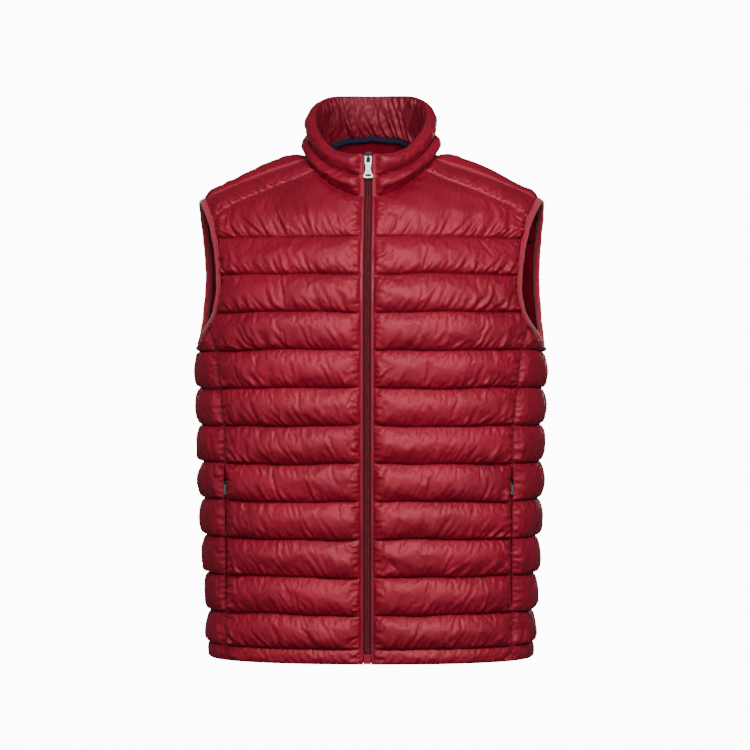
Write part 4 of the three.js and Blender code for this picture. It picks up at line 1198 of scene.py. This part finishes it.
def glossy_nylon(name, dark, light):
    """Thin calendered nylon: soft mottling, slanting crinkles and a fine plain weave."""
    surface = Surface(name)
    flat = surface.place("UV")
    mottle = surface.add("TexNoise", surface.place(), Scale=16.0, Detail=5.0)["Fac"]
    slant = surface.add("Mapping", flat, Rotation=(0, 0, 0.45), Scale=(1.0, 0.24, 1.0))["Vector"]
    crinkle = surface.add("TexNoise", slant, Scale=230.0, Detail=2.5, Distortion=0.6)["Fac"]
    fine = surface.add("TexNoise", flat, Scale=900.0, Detail=2.0)["Fac"]
    weave = surface.add("TexChecker", flat, Scale=2800.0)["Fac"]
    surface.shade(mottle, dark, light)
    surface.roughen(mottle, 0.49, 0.63)
    surface.bump(crinkle, 0.5, 0.001)
    surface.bump(fine, 0.25, 0.0002)
    surface.bump(weave, 0.06, 0.0001)
    glint = {"IOR": 1.75, "Specular Tint": NYLON_GLINT}
    sheen = {"Sheen Weight": 0.06, "Sheen Roughness": 0.45, "Sheen Tint": NYLON_SHEEN}
    return surface.settle(glint | sheen)


def knit(name, colour, scale=900.0, sheen=0.15):
    """A matte surface of fine loops: elastic binding or thread."""
    surface = Surface(name)
    loops = surface.add("TexVoronoi", surface.place(), Scale=scale)["Distance"]
    surface.shade(loops, darker(colour, 0.72), colour, 0.1, 0.6)
    surface.bump(loops, 0.4, 0.0003)
    matte = {"Roughness": 0.8, "Specular IOR Level": 0.15}
    return surface.settle(matte | {"Sheen Weight": sheen, "Sheen Roughness": 0.6})


def twill(name, colour):
    """A woven tape: slanting ribs on its UV map."""
    surface = Surface(name)
    slant = surface.add("Mapping", surface.place("UV"), Rotation=(0, 0, 0.8))["Vector"]
    ribs = surface.add("TexWave", slant, Scale=420.0, Distortion=0.6, Detail=1.0)["Fac"]
    surface.shade(ribs, darker(colour, 0.6), colour, 0.0, 1.0)
    surface.bump(ribs, 0.5, 0.0003)
    return surface.settle({"Roughness": 0.85, "Specular IOR Level": 0.25})


def coil_plastic(name, colour):
    """The zip's moulded coil: satin, and a little worn."""
    surface = Surface(name)
    wear = surface.add("TexNoise", surface.place(), Scale=120.0, Detail=4.0)["Fac"]
    surface.shade(wear, darker(colour, 0.7), colour)
    surface.bump(wear, 0.1, 0.0001)
    return surface.settle({"Roughness": 0.55, "Specular IOR Level": 0.25})


def plated_metal(name, colour, roughness):
    """Plated die-cast metal with fine polishing marks."""
    surface = Surface(name)
    drawn = surface.add("Mapping", surface.place(), Scale=(1.0, 1.0, 0.12))["Vector"]
    marks = surface.add("TexNoise", drawn, Scale=1800.0, Detail=3.0)["Fac"]
    surface.shade(marks, darker(colour, 0.75), colour)
    surface.roughen(marks, roughness - 0.05, roughness + 0.1)
    surface.bump(marks, 0.05, 0.0001)
    return surface.settle({"Metallic": 1.0})


def finish(piece, material, nodes=(), body="vest"):
    """Gives a new piece its finish, hides the CAD parts that it stands for, and attaches it to what
    it moves with.
    """
    piece.data.materials.clear()
    piece.data.materials.append(material)
    if nodes:
        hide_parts(*nodes)
    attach(piece, body)


# Pieces


def make_padded(name, node, panel, material, fill, **settings):
    """A quilted panel with its finish."""
    piece = quilted(name, panel, **settings)
    finish(piece, material, [node])


def stitch_lines(stitches, panel, first=0.0, last=0.0):
    """Stitches along a panel's quilting lines, clear of its sewn edges."""
    for row in range(2, len(panel.share) - 1):
        if panel.share[row, 0] < 1 or panel.channel[row] == panel.channel[-1]:
            continue
        kept = (panel.u[row] > first) & (panel.u[row, -1] - panel.u[row] > last)
        high = np.maximum(panel.thick[row], STITCHED)[:, None] + 0.6
        lifted = panel.points[row] + panel.normals[row] * high
        stitches.run(lifted[kept], panel.normals[row][kept])


def armhole_loop(sign, front, yoke, side, back):
    """The armhole's edge, up the front, over the shoulder, down the back and underneath."""
    end = -1 if sign == LEFT else 0
    high = front.points[:, -1, 2] > ARMHOLE_CORNER_Z - 0.1
    back_high = back.points[:, end, 2] > ARMHOLE_CORNER_Z - 0.1
    back_high[-1] = False
    loop = []
    for kind in ("points", "normals"):
        runs = (
            getattr(front, kind)[high, -1],
            getattr(yoke, kind)[1:, -1],
            getattr(back, kind)[back_high, end][::-1],
            getattr(side, kind)[-1, 1:-1][::-1],
        )
        loop.append(np.concatenate(runs))
    return loop


def rounded(loop, times):
    """A closed line smoothed a number of times."""
    for _ in range(times):
        loop = (np.roll(loop, 1, 0) + 2 * loop + np.roll(loop, -1, 0)) / 4
    return loop


# The folded binding's section, as distances out past the armhole's edge and up from the body
BINDING_SECTION = (
    (-6.2, 3.2), (-5.6, 3.9), (-3.4, 4.5), (-0.6, 4.6), (1.2, 3.9), (2.0, 2.4), (2.1, 0.8),
    (1.6, -0.8), (0.2, -1.8), (-2.4, -2.1), (-5.2, -1.9), (-5.8, -1.4), (-5.0, -0.9),
    (-2.2, -0.9), (0.4, -0.6), (1.0, 0.8), (0.9, 2.2), (0.0, 3.2), (-3.2, 3.2), (-5.6, 2.6),
)
BINDING_STITCH = {"in": 4.9, "up": 4.4}


def make_binding(sign, hand, points, normals, material, stitches):
    """The elastic binding folded round an armhole, a rounded U in section."""
    where, length = along_line(points, 3.0, closed=True)
    centre = rounded(pick(np.concatenate([points, points[:1]]), where), 4)
    up = unit(rounded(pick(np.concatenate([normals, normals[:1]]), where), 6))
    tangent = unit(np.roll(centre, -1, 0) - np.roll(centre, 1, 0))
    out = unit(sign * np.cross(tangent, up))
    turn = np.linspace(0, 2 * np.pi, len(centre), endpoint=False)
    ripple = 0.35 * np.sin(9 * turn + 0.5) + 0.3 * np.sin(17 * turn + 2.0) + 0.2 * np.sin(31 * turn)
    rings = []
    for reach, rise in BINDING_SECTION:
        swollen = rise + (0.5 * ripple if rise > 3 else 0 * ripple)
        rings.append(centre + out * (reach + 0.3 * ripple)[:, None] + up * swollen[:, None])
    rings = np.stack(rings, 1)
    count, size = rings.shape[:2]
    k, m = np.meshgrid(np.arange(count), np.arange(size), indexing="ij")
    after_k = (k + 1) % count
    after_m = (m + 1) % size
    corners = [k * size + m, after_k * size + m, after_k * size + after_m, k * size + after_m]
    faces = np.stack(corners, -1).reshape(-1, 4)
    piece = turn_out(new_piece(f"folded_binding_{hand}", rings.reshape(-1, 3), faces))
    finish(piece, material, [f"armhole_binding_{hand}"])
    sewn = centre - out * BINDING_STITCH["in"] + up * BINDING_STITCH["up"]
    stitches.run(sewn, up, 3.0, closed=True)


def zip_line(x, low_z, top_up):
    """A line of points and normals up the front edge, at x from the middle."""
    neck_z = float(neck_point(degrees_at(np.array(x), NECK_HALF_WIDTH))[2])
    z = np.arange(low_z, neck_z - 1, 3.0)
    body = body_point(FRONT, np.full(len(z), x), z)
    up = np.linspace(0, top_up, 14)
    deg = np.full(len(up), float(degrees_at(x, COLLAR_HALF_WIDTH)))
    neck = collar_column(deg, np.full(len(up), x), up)
    normals = np.concatenate([body_normal(FRONT, body), collar_normal(deg, up)])
    smooth = normals.copy()
    smooth[1:-1] = normals[:-2] + 2 * normals[1:-1] + normals[2:]
    return np.concatenate([body, neck]), unit(smooth)


def zip_strip(sign, columns, low_z, top_up):
    """A grid of points and normals up the front edge, a column at each distance from the middle."""
    lines = [zip_line(x, low_z, top_up) for x in columns]
    rows = min(len(points) for points, _ in lines)
    flip = np.array([sign, 1, 1])
    points = np.stack([points[-rows:] for points, _ in lines], 1) * flip
    normals = np.stack([normals[-rows:] for _, normals in lines], 1) * flip
    return points, normals


def make_zip(sign, hand, tape_finish, coil_finish):
    """One side of the front zip: its woven tape, and its coil on a cord."""
    points, normals = zip_strip(sign, ZIP_TAPE_COLUMNS, HEM_Z + 2, TAPE_TOP_UP)
    tape, size = slab(f"woven_tape_{hand}", points, normals, *ZIP_TAPE_LAYER)
    finish(tape, tape_finish, [f"zip_tape_{hand}"])
    points, normals = zip_strip(sign, ZIP_CORD_COLUMNS, CHAIN_BOTTOM_Z, CHAIN_TOP_UP)
    core, _ = slab(f"coil_cord_{hand}", points, normals, *ZIP_CORD_LAYER)
    finish(core, tape_finish)
    line, normals = zip_line(COIL_X, CHAIN_BOTTOM_Z + 1, CHAIN_TOP_UP)
    where, _ = along_line(line, COIL_PITCH)
    if sign == RIGHT:
        where = np.clip(where + 0.5 * (where[1] - where[0]), 0, len(line) - 1)
    flip = np.array([sign, 1, 1])
    centres = pick(line, where) * flip
    up = pick(normals, where) * flip
    shape, faces = bead(**COIL_TURN)
    across = np.broadcast_to((float(sign), 0.0, 0.0), centres.shape)
    coil = repeated(f"coil_{hand}", shape, faces, centres + up * COIL_LIFT, across, up)
    finish(coil, coil_finish, [f"zip_chain_{hand}"])


def make_pocket_tape(sign, hand, material):
    """The pocket zip's tape behind the slit in a side seam."""
    z = np.arange(POCKET["bottom"] - 12, POCKET["top"] + 12, 4.0)
    seam = turn_of(front_seam_x(z), z)
    lines = [turn_point(seam - shift / 112, z) for shift in POCKET_TAPE_COLUMNS]
    points = np.stack(lines, 1) * np.array([sign, 1, 1])
    normals = body_normal(FRONT, points)
    tape, size = slab(f"pocket_tape_{hand}", points, normals, *POCKET_TAPE_LAYER)
    finish(tape, material, [f"pocket_zip_{hand}"])


def make_neck_tape(material):
    """The navy tape that covers the back neck seam inside."""
    deg, up = np.meshgrid(steps(SHOULDER_CORNER_DEG, 180, 2.5), np.linspace(*NECK_TAPE_UP, 5))
    points = np.swapaxes(all_round(collar_point(deg, up)), 0, 1)
    normals = np.swapaxes(all_round(collar_normal(deg, up)), 0, 1)
    tape, size = slab("navy_neck_tape", points, normals, *NECK_TAPE_LAYER)
    finish(tape, material, ["neck_tape"])


def refined(name, node, material, body, bevel):
    """A copy of a hard CAD piece, joined up and with its edges rounded."""
    piece = bpy.data.objects.new(name, bpy.data.objects[node].data.copy())
    bpy.context.scene.collection.objects.link(piece)
    work = bmesh.new()
    work.from_mesh(piece.data)
    bmesh.ops.remove_doubles(work, verts=work.verts, dist=0.00001)
    bmesh.ops.dissolve_limit(work, angle_limit=0.02, verts=work.verts, edges=work.edges)
    work.to_mesh(piece.data)
    work.free()
    bpy.ops.object.select_all(action="DESELECT")
    piece.select_set(True)
    bpy.context.view_layer.objects.active = piece
    rounding = piece.modifiers.new("rounding", "BEVEL")
    rounding.width = bevel * MM
    rounding.segments = 2
    rounding.limit_method = "ANGLE"
    rounding.angle_limit = math.radians(35)
    bpy.ops.object.modifier_apply(modifier="rounding")
    bpy.ops.object.shade_smooth_by_angle(angle=math.radians(40))
    flat = piece.modifiers.new("flat_faces", "WEIGHTED_NORMAL")
    flat.keep_sharp = True
    bpy.ops.object.modifier_apply(modifier="flat_faces")
    finish(piece, material, [node], body)


def make_front(sign, hand, shell, stitches):
    """Half of the front, drawn in along the zip and the side seam."""
    front = front_panel(sign)
    crease(front, lean=1.0, edge=0.45)
    pucker(front, False, start=ZIP_STRIP + 0.5, every=2.6, length=11, width=1.3, height=1.0)
    pucker(front, True, start=3.0, every=3.8, length=19, width=1.8, height=1.2)
    make_padded(f"quilted_front_{hand}", f"front_{hand}", front, shell, 0.7)
    stitch_lines(stitches, front, first=ZIP_STRIP + 1, last=4)
    column = int(np.argmax(front.u[0] > ZIP_STRIP - 0.6))
    lifted = front.points[:, column] + front.normals[:, column] * 2.6
    stitches.run(lifted, front.normals[:, column], 3.0)
    return front


def make_side(sign, hand, shell, stitches):
    """A side panel, drawn in along both seams."""
    side = side_panel(sign)
    crease(side, lean=0.5, edge=0.2)
    for last in (False, True):
        pucker(side, last, start=1.5, every=5.5, length=12, width=1.8, height=0.8)
    make_padded(f"quilted_side_{hand}", f"side_panel_{hand}", side, shell, 0.7)
    stitch_lines(stitches, side, first=2, last=2)
    return side


def make_yoke(sign, hand, shell, stitches):
    """The strip over a shoulder, topstitched along its lower seam."""
    yoke = yoke_panel(sign)
    crease(yoke, lean=0.4, edge=0.2, amount=0.6)
    make_padded(f"quilted_yoke_{hand}", f"front_yoke_{hand}", yoke, shell, 0.5, growth=0.015)
    row = yoke.row_at(2.6)
    lifted = yoke.points[row] + yoke.normals[row] * (yoke.thick[row] + 0.1)[:, None]
    stitches.run(lifted[3:-6], yoke.normals[row][3:-6], 2.8)
    return yoke


def make_back(shell, stitches):
    """The back, drawn in along the side seams and armholes."""
    back = back_panel()
    crease(back, lean=0.0, amount=0.9)
    for last in (False, True):
        pucker(back, last, start=BOUND_STRIP, every=5.0, length=15, width=1.8, height=0.8)
    make_padded("quilted_back", "back", back, shell, 0.7)
    stitch_lines(stitches, back, first=7, last=7)
    return back


def make_collar(shell, lining, stitches):
    """The collar's quilted outer side and its gathered lining."""
    collar = collar_panel()
    crease(collar, lean=0.2, amount=0.45)
    for last in (False, True):
        pucker(collar, last, start=5.0, every=3.6, length=10, width=1.5, height=0.7)
    make_padded("quilted_collar", "collar", collar, shell, 0.8, growth=0.008)
    stitch_lines(stitches, collar, first=6, last=6)
    inside = collar_lining_panel()
    crease(inside, lean=0.3, amount=1.6)
    gathered = quilted("gathered_collar_lining", inside, pressure=1.0, growth=0.02, lining=-0.8)
    finish(gathered, lining, ["collar_lining"])


def build():
    """Every piece of the vest with its finish."""
    shell = glossy_nylon("glossy_nylon", NYLON_DARK, NYLON_LIGHT)
    # The collar lining's material is the shell nylon painted darker, as painted shade inside the
    # collar
    lining = glossy_nylon("shaded_lining_nylon", SHADED_LINING_DARK, SHADED_LINING_LIGHT)
    binding = knit("elastic_binding", BINDING_RED)
    # Dark thread: partly its own colour, partly painted shade along the stitched grooves
    thread_and_groove_shade = knit("red_thread_and_groove_shade", THREAD_RED_AND_GROOVE_SHADE, 2400.0, 0.0)
    tape = twill("zip_tape_twill", TAPE_MAROON)
    navy = twill("navy_twill", NAVY)
    coil = coil_plastic("maroon_coil", COIL_MAROON)
    gunmetal = plated_metal("gunmetal", GUNMETAL, 0.3)
    silver = plated_metal("polished_silver", SILVER, 0.2)
    stitches = Stitches()
    binding_stitches = Stitches()
    back = make_back(shell, stitches)
    for sign, hand in ((LEFT, "left"), (RIGHT, "right")):
        front = make_front(sign, hand, shell, stitches)
        side = make_side(sign, hand, shell, stitches)
        yoke = make_yoke(sign, hand, shell, stitches)
        points, normals = armhole_loop(sign, front, yoke, side, back)
        make_binding(sign, hand, points, normals, binding, binding_stitches)
        make_zip(sign, hand, tape, coil)
        make_pocket_tape(sign, hand, tape)
        node = f"pocket_slider_{hand}"
        refined(f"rounded_{node}", node, gunmetal, "vest", 0.15)
        node = f"pocket_pull_{hand}"
        refined(f"rounded_{node}", node, silver, f"{hand}_pocket_pull", 0.2)
    make_collar(shell, lining, stitches)
    make_neck_tape(navy)
    refined("rounded_slider", "zip_slider", gunmetal, "vest", 0.3)
    refined("rounded_pull", "zip_pull", silver, "front_pull", 0.3)
    refined("cloth_zip_box", "zip_box", shell, "vest", 0.6)
    finish(stitches.piece("shell_stitches"), thread_and_groove_shade)
    finish(binding_stitches.piece("binding_stitches", length=1.9, thickness=0.4), thread_and_groove_shade)


set_camera()
studio()
build()
